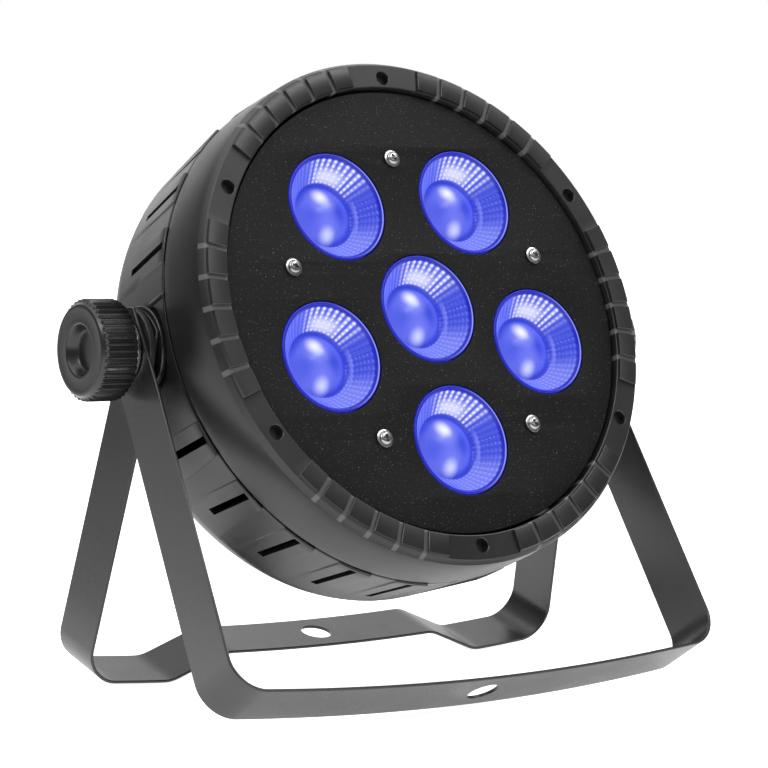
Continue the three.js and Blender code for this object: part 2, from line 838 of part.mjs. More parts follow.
// The stack from the head outwards: disc, rear arm, spacer, front arm, washer and knob.
function pivotSet(sideName, side) {
  const rearInner = rearArm.pivotOffset - stripThickness;
  const frontInner = frontArm.pivotOffset - stripThickness;
  const discSpan = [bossFace + clearance, rearInner - clearance];
  const spacerSpan = [rearArm.pivotOffset + clearance, frontInner - clearance];
  const washerSpan = [frontArm.pivotOffset + clearance, knobBack - hubLength - clearance];
  const insertSpan = [insertInner, bossFace - clearance];
  const layer = (radius, span, segments) => sideRing(studHole, radius, ...span, side, segments);
  const named = (name) => `${sideName}_${name}`;
  add(head, named('boss_disc'), layer(bossRadius, discSpan, 26), mouldedBlack);
  add(head, named('pivot_insert'), layer(insertRadius, insertSpan, 18), brassInsert);
  add(pivot, named('spacer'), layer(spacerRadius, spacerSpan, 24), rubberBlack);
  add(pivot, named('knob_washer'), layer(washerRadius, washerSpan, 20), zincSteel);
  add(pivot, named('knob'), knob(side), knobBlack);
  add(pivot, named('knob_stud'), sideRod(studRadius, studInner, studOuter, side, 18), zincSteel);
}

pivotSet('left', -1);
pivotSet('right', 1);

export default light;
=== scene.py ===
"""Looks of a flat LED par can light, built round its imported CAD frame.

Lengths are millimetres in the shape tables and metres in the scene. Most pieces are made in a frame
of their own: +Z runs along the piece's axis, which is the beam for the head's parts, so "forward" is
the distance along the beam from the pivot axis, and +X is the light's right seen from the front.
"""

import json
import math

import bmesh
import bpy
from mathutils import Matrix, Vector


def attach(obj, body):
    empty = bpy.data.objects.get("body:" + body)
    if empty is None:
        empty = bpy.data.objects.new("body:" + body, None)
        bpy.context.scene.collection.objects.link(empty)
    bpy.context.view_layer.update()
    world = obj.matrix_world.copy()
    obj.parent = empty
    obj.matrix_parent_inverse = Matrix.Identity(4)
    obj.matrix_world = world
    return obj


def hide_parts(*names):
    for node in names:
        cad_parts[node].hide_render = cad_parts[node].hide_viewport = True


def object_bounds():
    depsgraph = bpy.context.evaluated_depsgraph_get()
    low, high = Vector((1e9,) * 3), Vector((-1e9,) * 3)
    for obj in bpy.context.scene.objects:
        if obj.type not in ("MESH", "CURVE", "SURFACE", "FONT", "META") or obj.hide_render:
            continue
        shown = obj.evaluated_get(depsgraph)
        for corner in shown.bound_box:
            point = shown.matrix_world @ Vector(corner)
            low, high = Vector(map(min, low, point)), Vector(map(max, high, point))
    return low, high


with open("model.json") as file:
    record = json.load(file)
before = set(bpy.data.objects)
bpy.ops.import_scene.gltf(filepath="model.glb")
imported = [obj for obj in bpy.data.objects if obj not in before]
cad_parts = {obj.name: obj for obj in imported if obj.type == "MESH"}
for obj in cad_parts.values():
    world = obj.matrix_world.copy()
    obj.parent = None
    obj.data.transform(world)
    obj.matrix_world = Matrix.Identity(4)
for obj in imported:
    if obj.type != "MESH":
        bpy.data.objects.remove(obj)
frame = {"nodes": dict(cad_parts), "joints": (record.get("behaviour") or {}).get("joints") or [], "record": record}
cad_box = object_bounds()

MM = 0.001

# ---- places from the frame

joints = {joint["name"]: joint for joint in frame["joints"]}
mounts = {mount["name"]: mount for mount in frame["record"]["mounts"]}

pivot = Vector(joints["head_tilt"]["pos_m"])
press = Vector(joints["menu_button_1_press"]["axis"])
head_tilt = math.atan2(press.z, -press.y)
head_frame = Matrix.Translation(pivot) @ Matrix.Rotation(-head_tilt, 4, "X")
beam_frame = head_frame @ Matrix.Rotation(math.pi / 2, 4, "X")


def side_frame(side):
    """A frame at the pivot whose +Z points outwards on that side (-1 left, +1 right)."""
    return head_frame @ Matrix.Rotation(side * math.pi / 2, 4, "Y")


def swing_of(mount):
    normal = Vector(mounts[mount]["axis"])
    return math.atan2(normal.y, -normal.z)


def beam_point(x, z, forward=0.0):
    """Matrix that moves a piece to a place across the beam, in millimetres."""
    return beam_frame @ Matrix.Translation(Vector((x, z, forward)) * MM)


def on_circle(radius, degrees):
    return radius * math.cos(math.radians(degrees)), radius * math.sin(math.radians(degrees))


# ---- node material helpers


class Nodes:
    """A short way to write the node tree of a material or a world."""

    def __init__(self, owner, shader="Principled BSDF", coordinates="Object"):
        owner.use_nodes = True
        self.owner = owner
        self.tree = owner.node_tree
        self.shader = self.tree.nodes[shader]
        self.place = self.add("ShaderNodeTexCoord").outputs[coordinates]

    def local(self):
        """Coordinates in the piece's own frame."""
        return self.add("ShaderNodeAttribute", attribute_name="local").outputs["Vector"]

    def add(self, kind, **settings):
        node = self.tree.nodes.new(kind)
        for key, value in settings.items():
            setattr(node, key, value)
        return node

    def plug(self, socket, value):
        if isinstance(value, bpy.types.NodeSocket):
            self.tree.links.new(value, socket)
        else:
            socket.default_value = value

    def math(self, operation, a, b=0.0, clamp=False):
        node = self.add("ShaderNodeMath", operation=operation, use_clamp=clamp)
        self.plug(node.inputs[0], a)
        self.plug(node.inputs[1], b)
        return node.outputs[0]

    def times(self, a, b, clamp=False):
        return self.math("MULTIPLY", a, b, clamp)

    def hypot(self, a, b):
        return self.math("SQRT", self.math("ADD", self.times(a, a), self.times(b, b)))

    def wrap(self, value, low, high):
        node = self.add("ShaderNodeMath", operation="WRAP")
        self.plug(node.inputs[0], value)
        node.inputs[1].default_value = high
        node.inputs[2].default_value = low
        return node.outputs[0]

    def split(self, vector):
        node = self.add("ShaderNodeSeparateXYZ")
        self.plug(node.inputs[0], vector)
        return node.outputs

    def dot(self, direction):
        """How far the place lies along a direction."""
        node = self.add("ShaderNodeVectorMath", operation="DOT_PRODUCT")
        self.plug(node.inputs[0], self.place)
        node.inputs[1].default_value = direction
        return node.outputs["Value"]

    def noise(self, scale, detail=2.0, roughness=0.5, place=None):
        node = self.add("ShaderNodeTexNoise")
        self.plug(node.inputs["Vector"], place or self.place)
        node.inputs["Scale"].default_value = scale
        node.inputs["Detail"].default_value = detail
        node.inputs["Roughness"].default_value = roughness
        return node.outputs["Fac"]

    def remap(self, value, low, high, to_low, to_high, smooth=False):
        node = self.add("ShaderNodeMapRange")
        if smooth:
            node.interpolation_type = "SMOOTHSTEP"
        self.plug(node.inputs["Value"], value)
        limits = {"From Min": low, "From Max": high, "To Min": to_low, "To Max": to_high}
        for key, number in limits.items():
            node.inputs[key].default_value = number
        return node.outputs["Result"]

    def mix(self, share, a, b):
        node = self.add("ShaderNodeMix", data_type="RGBA")
        self.plug(node.inputs[0], share)
        self.plug(node.inputs[6], a)
        self.plug(node.inputs[7], b)
        return node.outputs[2]

    def bump(self, height, strength, distance):
        node = self.add("ShaderNodeBump")
        node.inputs["Strength"].default_value = strength
        node.inputs["Distance"].default_value = distance
        self.plug(node.inputs["Height"], height)
        return node.outputs["Normal"]

    def set(self, **values):
        for key, value in values.items():
            self.plug(self.shader.inputs[key.replace("_", " ")], value)


def new_material(name):
    return Nodes(bpy.data.materials.new(name))


def grey(level):
    return (level, level, level, 1.0)


def textured(name, color, rough, grain, depth, speckle=0.0, painted_highlight=None, **constants):
    """Paint or moulded plastic: mottled colour and gloss and a fine grain, with pale specks, and with a paler grey
    painted in as a highlight where an optional mask is 1.
    """
    n = new_material(name)
    cloud = n.noise(35.0, 4.0, 0.6)
    fine = n.noise(grain, 2.0, 0.6)
    dark = tuple(c * 0.8 for c in color[:3]) + (1.0,)
    light = tuple(c * 1.25 for c in color[:3]) + (1.0,)
    base = n.mix(n.remap(cloud, 0.35, 0.65, 0.0, 1.0), dark, light)
    if speckle:
        specks = n.noise(2200.0, 1.0, 0.5)
        base = n.mix(n.remap(specks, 0.7, 0.76, 0.0, speckle), base, grey(0.35))
    # Painted highlight: a paler grey where the mask is 1, for light caught on the bezel's groove floors.
    if painted_highlight:
        base = n.mix(painted_highlight(n), base, grey(0.085))
    spread = n.math("ADD", n.remap(cloud, 0.3, 0.7, -0.04, 0.04), n.remap(fine, 0.3, 0.7, -0.05, 0.05))
    n.set(Base_Color=base, Roughness=n.math("ADD", spread, rough, clamp=True))
    n.set(Normal=n.bump(fine, 0.5, depth))
    n.set(**constants)
    return n.owner


def groove_painted_highlight(n):
    """1 on the rough floors of the bezel's grooves, where a paler grey is painted in as a highlight for the light
    the grooves catch.
    """
    x, y, height = n.split(n.local())
    radius = n.hypot(x, y)
    degrees = n.times(n.math("ARCTAN2", y, x), 180 / math.pi)
    group = n.wrap(degrees, -30.0, 30.0)
    across = n.times(n.math("ABSOLUTE", n.wrap(group, -3.5, 3.5)), math.pi / 180)
    narrow = n.math("LESS_THAN", n.times(across, radius), 1.02 * MM)
    grouped = n.math("LESS_THAN", n.math("ABSOLUTE", group), 17.0)
    deep = n.math("LESS_THAN", height, 47.2 * MM)
    return n.times(n.times(narrow, grouped), deep)


def metal(name, color, rough, streak, along="z"):
    """Bare or plated metal with fine streaks across the given axis."""
    n = new_material(name)
    stretch = n.add("ShaderNodeMapping")
    n.plug(stretch.inputs["Vector"], n.place)
    stretch.inputs["Scale"].default_value = (1.0, 1.0, 12.0) if along == "z" else (12.0, 1.0, 1.0)
    lines = n.noise(streak, 3.0, 0.6, stretch.outputs["Vector"])
    cloud = n.noise(60.0, 3.0, 0.5)
    dark = tuple(c * 0.75 for c in color[:3]) + (1.0,)
    n.set(Base_Color=n.mix(n.remap(cloud, 0.35, 0.65, 0.0, 1.0), dark, color), Metallic=1.0)
    n.set(Roughness=n.math("ADD", n.remap(lines, 0.3, 0.7, -0.08, 0.08), rough, clamp=True))
    n.set(Normal=n.bump(lines, 0.15, 0.00005))
    return n.owner


def board_material():
    """Green solder mask with faint copper tracks under it."""
    n = new_material("solder_mask")
    brick = n.add("ShaderNodeTexBrick")
    n.plug(brick.inputs["Vector"], n.place)
    brick.inputs["Scale"].default_value = 160.0
    brick.inputs["Mortar Size"].default_value = 0.03
    tracks = n.remap(brick.outputs["Fac"], 0.0, 1.0, 0.0, 0.5)
    n.set(Base_Color=n.mix(tracks, (0.012, 0.10, 0.035, 1), (0.05, 0.24, 0.09, 1)))
    n.set(Roughness=n.remap(n.noise(90.0), 0.3, 0.7, 0.25, 0.45))
    n.set(Normal=n.bump(brick.outputs["Fac"], 0.3, 0.0001))
    return n.owner


def emitter_material():
    n = new_material("emitter_resin")
    glow = n.remap(n.noise(300.0), 0.3, 0.7, 0.6, 1.0)
    n.set(Base_Color=n.mix(glow, (0.1, 0.15, 0.8, 1), (0.5, 0.6, 1.0, 1)), Roughness=0.3)
    n.set(Emission_Color=(0.15, 0.22, 1.0, 1.0), Emission_Strength=4.0)
    return n.owner


def window_material():
    """Dark smoked window over an unlit digit block."""
    n = new_material("smoked_window")
    cloud = n.noise(40.0, 3.0)
    n.set(Base_Color=n.mix(cloud, (0.012, 0.003, 0.003, 1), (0.03, 0.008, 0.008, 1)))
    n.set(Roughness=n.remap(cloud, 0.3, 0.7, 0.05, 0.12), Coat_Weight=0.6)
    return n.owner


def digit_material():
    """Red segments of the menu display."""
    n = new_material("display_segments")
    glow = n.remap(n.noise(900.0), 0.3, 0.7, 0.75, 1.0)
    n.set(Base_Color=(0.3, 0.01, 0.01, 1.0), Roughness=0.3, Emission_Strength=2.2)
    n.set(Emission_Color=n.mix(glow, (0.7, 0.02, 0.01, 1), (1.0, 0.05, 0.02, 1)))
    return n.owner


# The lens's own sizes, in millimetres from its middle.
LENS_RIM = 21.4
LENS_RING = 20.2
LENS_VALLEY = 12.2
LENS_RIBS = 44
LENS_BEAD = 1.65
RIM_FORWARD = 44.6
VALLEY_FORWARD = 34.0
DOME_FORWARD = 38.6


def lens_material():
    """A moulded lens lit from behind, its look painted into its glow: a deep blue rim, a ribbed and beaded wall
    and a smooth dome, with painted highlights and painted shade in fixed directions and pale painted glows where
    the emitter shows through."""
    n = new_material("lit_lens")
    x, y, _ = n.split(n.local())
    radius = n.hypot(x, y)
    angle = n.math("ARCTAN2", y, x)

    def band(low, high, soft=0.4):
        rise = n.remap(radius, (low - soft) * MM, (low + soft) * MM, 0.0, 1.0, smooth=True)
        fall = n.remap(radius, (high - soft) * MM, (high + soft) * MM, 1.0, 0.0, smooth=True)
        return n.times(rise, fall)

    def glow(cx, cy, size):
        """A soft round spot, 1 in its middle."""
        dx = n.math("SUBTRACT", x, cx * MM)
        dy = n.math("SUBTRACT", y, cy * MM)
        return n.remap(n.hypot(dx, dy), 0.0, size * MM, 1.0, 0.0, smooth=True)

    def sector(middle, half):
        """1 towards the given direction, falling to 0 half that many degrees away."""
        turned = n.math("COSINE", n.math("SUBTRACT", angle, math.radians(middle)))
        return n.remap(turned, math.cos(math.radians(half)), 1.0, 0.0, 1.0, smooth=True)

    # The ribs and beads set where painted highlights fall on the wall's facets.
    wave = n.math("SINE", n.times(angle, float(LENS_RIBS)))
    rib = n.remap(wave, -0.6, 0.9, 0.0, 1.0)
    ring_phase = n.times(radius, 2 * math.pi / (LENS_BEAD * 0.72 * MM))
    bead = n.remap(n.math("SINE", ring_phase), -1.0, 0.8, 0.45, 1.0)
    facet = n.times(rib, bead)

    wall = band(LENS_VALLEY + 0.9, LENS_RING - 0.3)
    # Fixed directions round the lens for painted light: highlights above (top), below (low) and on the left,
    # painted shade towards the right (side).
    top = sector(70.0, 48.0)
    low = sector(-68.0, 52.0)
    side = sector(4.0, 50.0)
    left = sector(178.0, 60.0)
    core = n.times(n.times(sector(76.0, 30.0), band(LENS_VALLEY + 1.0, 17.0, 1.6)), 0.75)
    streak = n.times(rib, n.math("ADD", sector(125.0, 50.0), 0.25))

    dome_tone = (0.11, 0.14, 0.80, 1)
    # The valley ring's glow, with a painted highlight towards 205 degrees.
    ring_tone = n.mix(n.times(sector(205.0, 65.0), 0.9), (0.03, 0.05, 0.6, 1), dome_tone)
    color = n.mix(band(-2.0, LENS_VALLEY - 1.3, 1.6), ring_tone, dome_tone)
    # Painted spots on the dome: the darker ones are painted shade, the pale ones painted highlights and glows.
    painted_dome_spots = (
        (-7.5, -0.5, 6.0, 0.5, (0.05, 0.08, 0.68, 1)), (5.5, 0.0, 7.0, 0.85, (0.035, 0.06, 0.62, 1)),
        (-0.8, -5.0, 7.5, 0.6, (0.22, 0.25, 0.92, 1)), (-1.2, 4.8, 7.4, 0.65, (0.34, 0.38, 0.96, 1)),
        (-1.6, 6.4, 4.6, 1.0, (0.97, 0.98, 1.0, 1)), (-1.2, -8.6, 4.6, 0.95, (0.66, 0.70, 1.0, 1)),
    )
    for cx, cy, size, strength, tone in painted_dome_spots:
        color = n.mix(n.times(glow(cx, cy, size), strength), color, tone)

    # The wall's glow: painted shade on the right, painted light on the left, painted highlights along the ribs and
    # beads.
    wall_color = n.mix(side, (0.085, 0.115, 0.73, 1), (0.042, 0.066, 0.62, 1))
    wall_color = n.mix(n.times(left, 0.9), wall_color, (0.10, 0.13, 0.78, 1))
    wall_color = n.mix(n.times(streak, 0.4), wall_color, (0.20, 0.24, 0.90, 1))
    painted_top_highlight = n.times(n.times(top, 1.35, clamp=True), n.math("MAXIMUM", facet, core))
    wall_color = n.mix(painted_top_highlight, wall_color, (0.96, 0.97, 1.0, 1))
    pale = n.times(n.times(low, n.math("MAXIMUM", facet, 0.4)), 0.62, clamp=True)
    wall_color = n.mix(pale, wall_color, (0.45, 0.50, 0.98, 1))
    painted_arc_highlight = n.times(band(13.7, 14.4, 0.35), sector(-8.0, 38.0))
    wall_color = n.mix(n.times(painted_arc_highlight, 0.6), wall_color, (0.26, 0.30, 0.92, 1))
    color = n.mix(wall, color, wall_color)
    color = n.mix(band(19.7, 30.0, 0.3), color, (0.006, 0.009, 0.38, 1))
    # A painted highlight along the inside of the rim on the right.
    painted_rim_highlight = n.times(band(20.5, 20.95, 0.14), sector(0.0, 85.0))
    color = n.mix(painted_rim_highlight, color, (0.34, 0.40, 0.96, 1))

    n.set(Base_Color=(0.012, 0.015, 0.12, 1.0), Roughness=n.remap(n.noise(500.0), 0.3, 0.7, 0.2, 0.3))
    n.set(Emission_Color=color, Emission_Strength=0.92, Specular_IOR_Level=0.25)
    return n.owner


# ---- materials

moulded = textured("moulded_black", grey(0.009), 0.36, 2600.0, 0.00005)
# The bezel's black, with a painted highlight on its groove floors.
bezel_black = textured("bezel_black", grey(0.009), 0.36, 2600.0, 0.00005, painted_highlight=groove_painted_highlight)
casing = textured("casing_black", grey(0.010), 0.34, 2200.0, 0.00006)
painted = textured("powder_coat", grey(0.011), 0.32, 1500.0, 0.00004, Specular_IOR_Level=0.55)
face_paint = textured("face_paint", grey(0.006), 0.6, 1800.0, 0.00004, speckle=0.4, Specular_IOR_Level=0.16)
knob_black = textured("knob_black", grey(0.008), 0.27, 3500.0, 0.000015)
rubber = textured("spacer_rubber", grey(0.014), 0.42, 900.0, 0.00008)
socket_black = textured("socket_black", grey(0.012), 0.5, 1500.0, 0.00005)
button_grey = textured("button_grey", grey(0.05), 0.55, 1500.0, 0.00005)
zinc = metal("zinc_plate", (0.45, 0.45, 0.46, 1.0), 0.24, 300.0)
brass = metal("turned_brass", (0.6, 0.43, 0.18, 1.0), 0.35, 500.0)
aluminium = metal("bare_aluminium", (0.55, 0.56, 0.58, 1.0), 0.42, 260.0, along="x")
contact_metal = metal("contact_metal", (0.7, 0.68, 0.6, 1.0), 0.25, 400.0)
lit_lens = lens_material()
solder_mask = board_material()
emitter_resin = emitter_material()
smoked_window = window_material()
display_red = digit_material()

# ---- mesh helpers


def finish_piece(piece, paint, replaces=(), body="head", sharp=32.0):
    """Paints a piece, shades it smooth between its edges and hangs it on its body. The mesh moves to its
    place in the scene and keeps its own frame's coordinates as the attribute "local"."""
    piece.data.materials.clear()
    piece.data.materials.append(paint)
    piece.data.polygons.foreach_set("use_smooth", [True] * len(piece.data.polygons))
    piece.data.set_sharp_from_angle(angle=math.radians(sharp))
    coordinates = [0.0] * 3 * len(piece.data.vertices)
    piece.data.vertices.foreach_get("co", coordinates)
    piece.data.attributes.new("local", "FLOAT_VECTOR", "POINT").data.foreach_set("vector", coordinates)
    piece.data.transform(piece.matrix_world)
    piece.matrix_world = Matrix.Identity(4)
    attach(piece, body)
    if replaces:
        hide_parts(*replaces)


def object_of(name, data, place):
    """An object holding a mesh, curve, light or camera, put at its place."""
    piece = bpy.data.objects.new(name, data)
    bpy.context.scene.collection.objects.link(piece)
    piece.matrix_world = place
    return piece


def mesh_of(name, parts):
    """One mesh from a list of (vertices in millimetres, faces), with its faces turned outwards."""
    work = bmesh.new()
    for points, faces in parts:
        corners = [work.verts.new(Vector(point) * MM) for point in points]
        for face in faces:
            work.faces.new([corners[i] for i in face])
    bmesh.ops.recalc_face_normals(work, faces=work.faces[:])
    mesh = bpy.data.meshes.new(name)
    work.to_mesh(mesh)
    work.free()
    return mesh


def solid(name, parts, place):
    """An object made of parts, each given as (vertices in millimetres, faces)."""
    return object_of(name, mesh_of(name, parts), place)


def rounded(points, radius=0.3, steps=3, loop=True):
    """The outline with its corners rounded. A point may state a radius of its own as a third number."""
    result = []
    count = len(points)
    for i, point in enumerate(points):
        own = point[2] if len(point) > 2 else radius
        here = Vector(point[:2])
        if (not loop and i in (0, count - 1)) or own == 0:
            result.append(tuple(here))
            continue
        back = Vector(points[i - 1][:2]) - here
        ahead = Vector(points[(i + 1) % count][:2]) - here
        reach = min(own, back.length * 0.48, ahead.length * 0.48)
        start = here + back.normalized() * reach
        end = here + ahead.normalized() * reach
        for k in range(steps + 1):
            t = k / steps
            result.append(tuple(start.lerp(here, t).lerp(here.lerp(end, t), t)))
    return result


def grid(rows, close_rows, close_columns):
    """Points and faces of a grid of points. Closing joins its last row or column to the first."""
    height, width = len(rows), len(rows[0])
    points = [point for row in rows for point in row]
    faces = []
    for i in range(height if close_rows else height - 1):
        for j in range(width if close_columns else width - 1):
            k, m = (i + 1) % height, (j + 1) % width
            faces.append((i * width + j, i * width + m, k * width + m, k * width + j))
    return points, faces


def polar(radius, turn, height):
    return radius * math.cos(turn), radius * math.sin(turn), height


def hoop(radius, height, segments):
    """A ring of points round +Z."""
    return [polar(radius, 2 * math.pi * k / segments, height) for k in range(segments)]


def fan(tip, first, segments):
    """Triangles from one point to a ring of points."""
    return [(tip, first + k, first + (k + 1) % segments) for k in range(segments)]


def moved(part, x, y):
    points, faces = part
    return [(px + x, py + y, pz) for px, py, pz in points], faces


def revolved(profile, segments=160):
    """Turns a profile of (radius, forward) round +Z. It is a ring, or meets the axis at both its ends."""
    to_axis = profile[0][0] == 0
    inner = profile[1:-1] if to_axis else profile
    rows = [hoop(radius, height, segments) for radius, height in inner]
    points, faces = grid(rows, not to_axis, True)
    if to_axis:
        for radius_height, first in ((profile[0], 0), (profile[-1], (len(inner) - 1) * segments)):
            points.append((0.0, 0.0, radius_height[1]))
            faces += fan(len(points) - 1, first, segments)
    return points, faces


def prism(outline, low, high, bevel=0.25):
    """A closed outline (x, y) as a block from low to high along +Z, with bevelled edges."""
    centre = sum((Vector(p) for p in outline), Vector((0, 0))) / len(outline)

    def shrunk(inset):
        moved = []
        for i, point in enumerate(outline):
            here = Vector(point)
            along = (Vector(outline[(i + 1) % len(outline)]) - Vector(outline[i - 1])).normalized()
            normal = Vector((-along.y, along.x))
            if normal.dot(centre - here) < 0:
                normal.negate()
            moved.append(here + normal * inset)
        return moved

    small, full = shrunk(bevel), [Vector(p) for p in outline]
    layers = [(small, low), (full, low + bevel), (full, high - bevel), (small, high)]
    rows = [[(p.x, p.y, height) for p in points] for points, height in layers]
    points, faces = grid(rows, False, True)
    count = len(outline)
    faces.append(tuple(range(count)))
    faces.append(tuple(range(3 * count, 4 * count)))
    return points, faces


def rectangle(x, y, width, height, corner=1.0):
    w, h = width / 2, height / 2
    corners = [(x - w, y - h), (x + w, y - h), (x + w, y + h), (x - w, y + h)]
    return rounded(corners, corner, 4)


def circle(x, y, radius, segments=48):
    return [(x + px, y + py) for px, py, _ in hoop(radius, 0.0, segments)]


def baked(piece):
    """Applies the piece's modifiers."""
    bpy.context.view_layer.update()
    evaluated = piece.evaluated_get(bpy.context.evaluated_depsgraph_get())
    old = piece.data
    piece.data = bpy.data.meshes.new_from_object(evaluated)
    piece.modifiers.clear()
    bpy.data.meshes.remove(old)
    return piece


def cut(piece, parts):
    """Cuts shapes, given in the piece's own frame, out of a piece."""
    cutter = solid("cutter", parts, piece.matrix_world.copy())
    change = piece.modifiers.new("cut", "BOOLEAN")
    change.operation = "DIFFERENCE"
    change.solver = "EXACT"
    change.use_self = True
    change.object = cutter
    baked(piece)
    bpy.data.objects.remove(cutter)
    return piece


def sheet_plate(name, outline, holes, low, high, bevel):
    """A flat plate across the beam: an outline with holes, from low to high along the beam."""
    curve = bpy.data.curves.new(name, "CURVE")
    curve.dimensions = "2D"
    curve.fill_mode = "BOTH"
    curve.extrude = ((high - low) / 2 - bevel) * MM
    curve.bevel_depth = bevel * MM
    curve.bevel_resolution = 2
    curve.offset = -bevel * MM
    for loop in [outline, *holes]:
        spline = curve.splines.new("POLY")
        spline.points.add(len(loop) - 1)
        for point, (x, y) in zip(spline.points, loop):
            point.co = (x * MM, y * MM, 0.0, 1.0)
        spline.use_cyclic_u = True
    flat = object_of(name, curve, Matrix.Identity(4))
    bpy.context.view_layer.update()
    mesh = bpy.data.meshes.new_from_object(flat.evaluated_get(bpy.context.evaluated_depsgraph_get()))
    bpy.data.objects.remove(flat)
    work = bmesh.new()
    work.from_mesh(mesh)
    bmesh.ops.remove_doubles(work, verts=work.verts[:], dist=0.00001)
    bmesh.ops.translate(work, verts=work.verts[:], vec=Vector((0, 0, (low + high) / 2 * MM)))
    bmesh.ops.recalc_face_normals(work, faces=work.faces[:])
    work.to_mesh(mesh)
    work.free()
    return object_of(name, mesh, beam_frame)


# ---- bezel

BEZEL_INNER = 89.9
PAD_FACE = 46.6
BLOCK_FACE = 48.0
GROUP_HALF_ANGLE = 20.2
GROOVES = [-14.0, -7.0, 0.0, 7.0, 14.0]
GROOVE_HALF_WIDTH = 0.95
SCREW_CIRCLE = 94.0
SCREW_ANGLES = [30 + 60 * k for k in range(6)]


def bezel_profile(rise):
    """The ring's section at one angle: (radius, forward) points, with its top raised by rise."""
    top = PAD_FACE + rise
    soft = min(0.42, rise * 0.45)
    return [
        (BEZEL_INNER, 41.2), (BEZEL_INNER, PAD_FACE - 0.5), (BEZEL_INNER + 0.13, PAD_FACE - 0.15),
        (BEZEL_INNER + 0.45, PAD_FACE), (90.45, PAD_FACE + soft * 0.1), (90.5, top - soft),
        (90.62, top - soft * 0.3), (90.95, top), (98.2, top), (98.58, top - soft * 0.25),
        (98.8, top - soft), (99.0, PAD_FACE + soft * 0.4), (99.2, PAD_FACE), (99.4, PAD_FACE - 0.06),
        (99.62, PAD_FACE - 0.3), (100.8, 44.35), (100.93, 44.12), (100.88, 44.0), (100.6, 44.0),
        (98.9, 44.0), (98.9, 42.2), (98.0, 41.2), (94.0, 41.2),
    ]


def bezel_columns():
    """Angles round the bezel with the rise of its face there: (angle, offset in millimetres, rise)."""
    full = BLOCK_FACE - PAD_FACE
    floor = 0.2
    columns = []
    for k in range(6):
        middle = 60.0 * k
        start, end = middle - GROUP_HALF_ANGLE, middle + GROUP_HALF_ANGLE
        columns += [(start, -0.12, 0.0), (start, 0.0, 0.02), (start, 0.05, full - 0.25), (start, 0.3, full)]
        last = start
        for groove in GROOVES:
            angle = middle + groove
            span = angle - last
            columns += [(last + span * share, 0.0, full) for share in (0.3, 0.5, 0.7)]
            edge = GROOVE_HALF_WIDTH
            columns += [(angle, -edge - 0.3, full), (angle, -edge - 0.04, full - 0.27),
                        (angle, -edge, floor), (angle, 0.0, floor), (angle, edge, floor),
                        (angle, edge + 0.04, full - 0.27), (angle, edge + 0.3, full)]
            last = angle
        columns += [(last + (end - last) * share, 0.0, full) for share in (0.35, 0.65)]
        columns += [(end, -0.3, full), (end, -0.05, full - 0.25), (end, 0.0, 0.02), (end, 0.12, 0.0)]
        pad = 60.0 - 2 * GROUP_HALF_ANGLE
        columns += [(end + pad * (j + 1) / 10, 0.0, 0.0) for j in range(9)]
    return columns


def make_bezel():
    rows = []
    for angle, shift, rise in bezel_columns():
        row = []
        for radius, forward in bezel_profile(rise):
            row.append(polar(radius, math.radians(angle) + math.asin(shift / radius), forward))
        rows.append(row)
    ring = grid(rows, True, True)
    post = rounded([(2.85, 34.0), (4.4, 34.0), (4.4, 41.4), (2.85, 41.4)], 0.2, 2)
    mouth = [(0, 40.0), (2.8, 40.0), (2.8, PAD_FACE - 0.25), (3.15, PAD_FACE + 0.1), (3.15, 49.0), (0, 49.0)]
    posts, holes = [], []
    for degrees in SCREW_ANGLES:
        x, y = on_circle(SCREW_CIRCLE, degrees)
        posts.append(moved(revolved(post, 32), x, y))
        holes.append(moved(revolved(mouth, 40), x, y))
    piece = solid("bezel_ring", [ring], beam_frame)
    cut(piece, holes)
    tubes = solid("bezel_screw_tubes", posts, beam_frame)
    finish_piece(tubes, moulded)
    finish_piece(piece, bezel_black, ["front_bezel"], sharp=28.0)


make_bezel()

# ---- plain band

BAND_PROFILE = [
    (90.6, 41.4), (90.6, 43.6), (100.2, 43.7, 0.5), (101.1, 39.5, 3.5), (101.65, 34.0, 4.0),
    (101.9, 28.0, 4.0), (101.9, 21.3, 0.35), (99.3, 21.3), (99.3, 38.0, 2.0), (98.2, 41.3),
]
band = solid("front_band", [revolved(rounded(BAND_PROFILE, 0.25, 4), 256)], beam_frame)
finish_piece(band, moulded, ["front_shell"])

# ---- vented rear casing

REAR_LIP = (101.9, 20.2)
REAR_RIM = (98.2, -23.0)
REAR_BACK = -28.0
RIM_FROM = -21.0
WALL = 2.6
VENT_PITCH = 14.4
VENT_SPAN = (-10.0, 18.9)
VENT_HALF_WIDTH = 1.5
PANEL_HALF_ANGLE = 4.0
PANEL_RISE = 1.0
PANEL_DRIFT = 2.2
VENT_TURN = 2.0
RIB_ANGLE = 10.2
RIB_RISE = 0.8
REAR_PANEL_RADIUS = 76.0
SPOTFACE = (17.4, 99.2)


def rear_radius(forward):
    share = (forward - REAR_RIM[1]) / (REAR_LIP[1] - REAR_RIM[1])
    return REAR_RIM[0] + (REAR_LIP[0] - REAR_RIM[0]) * share


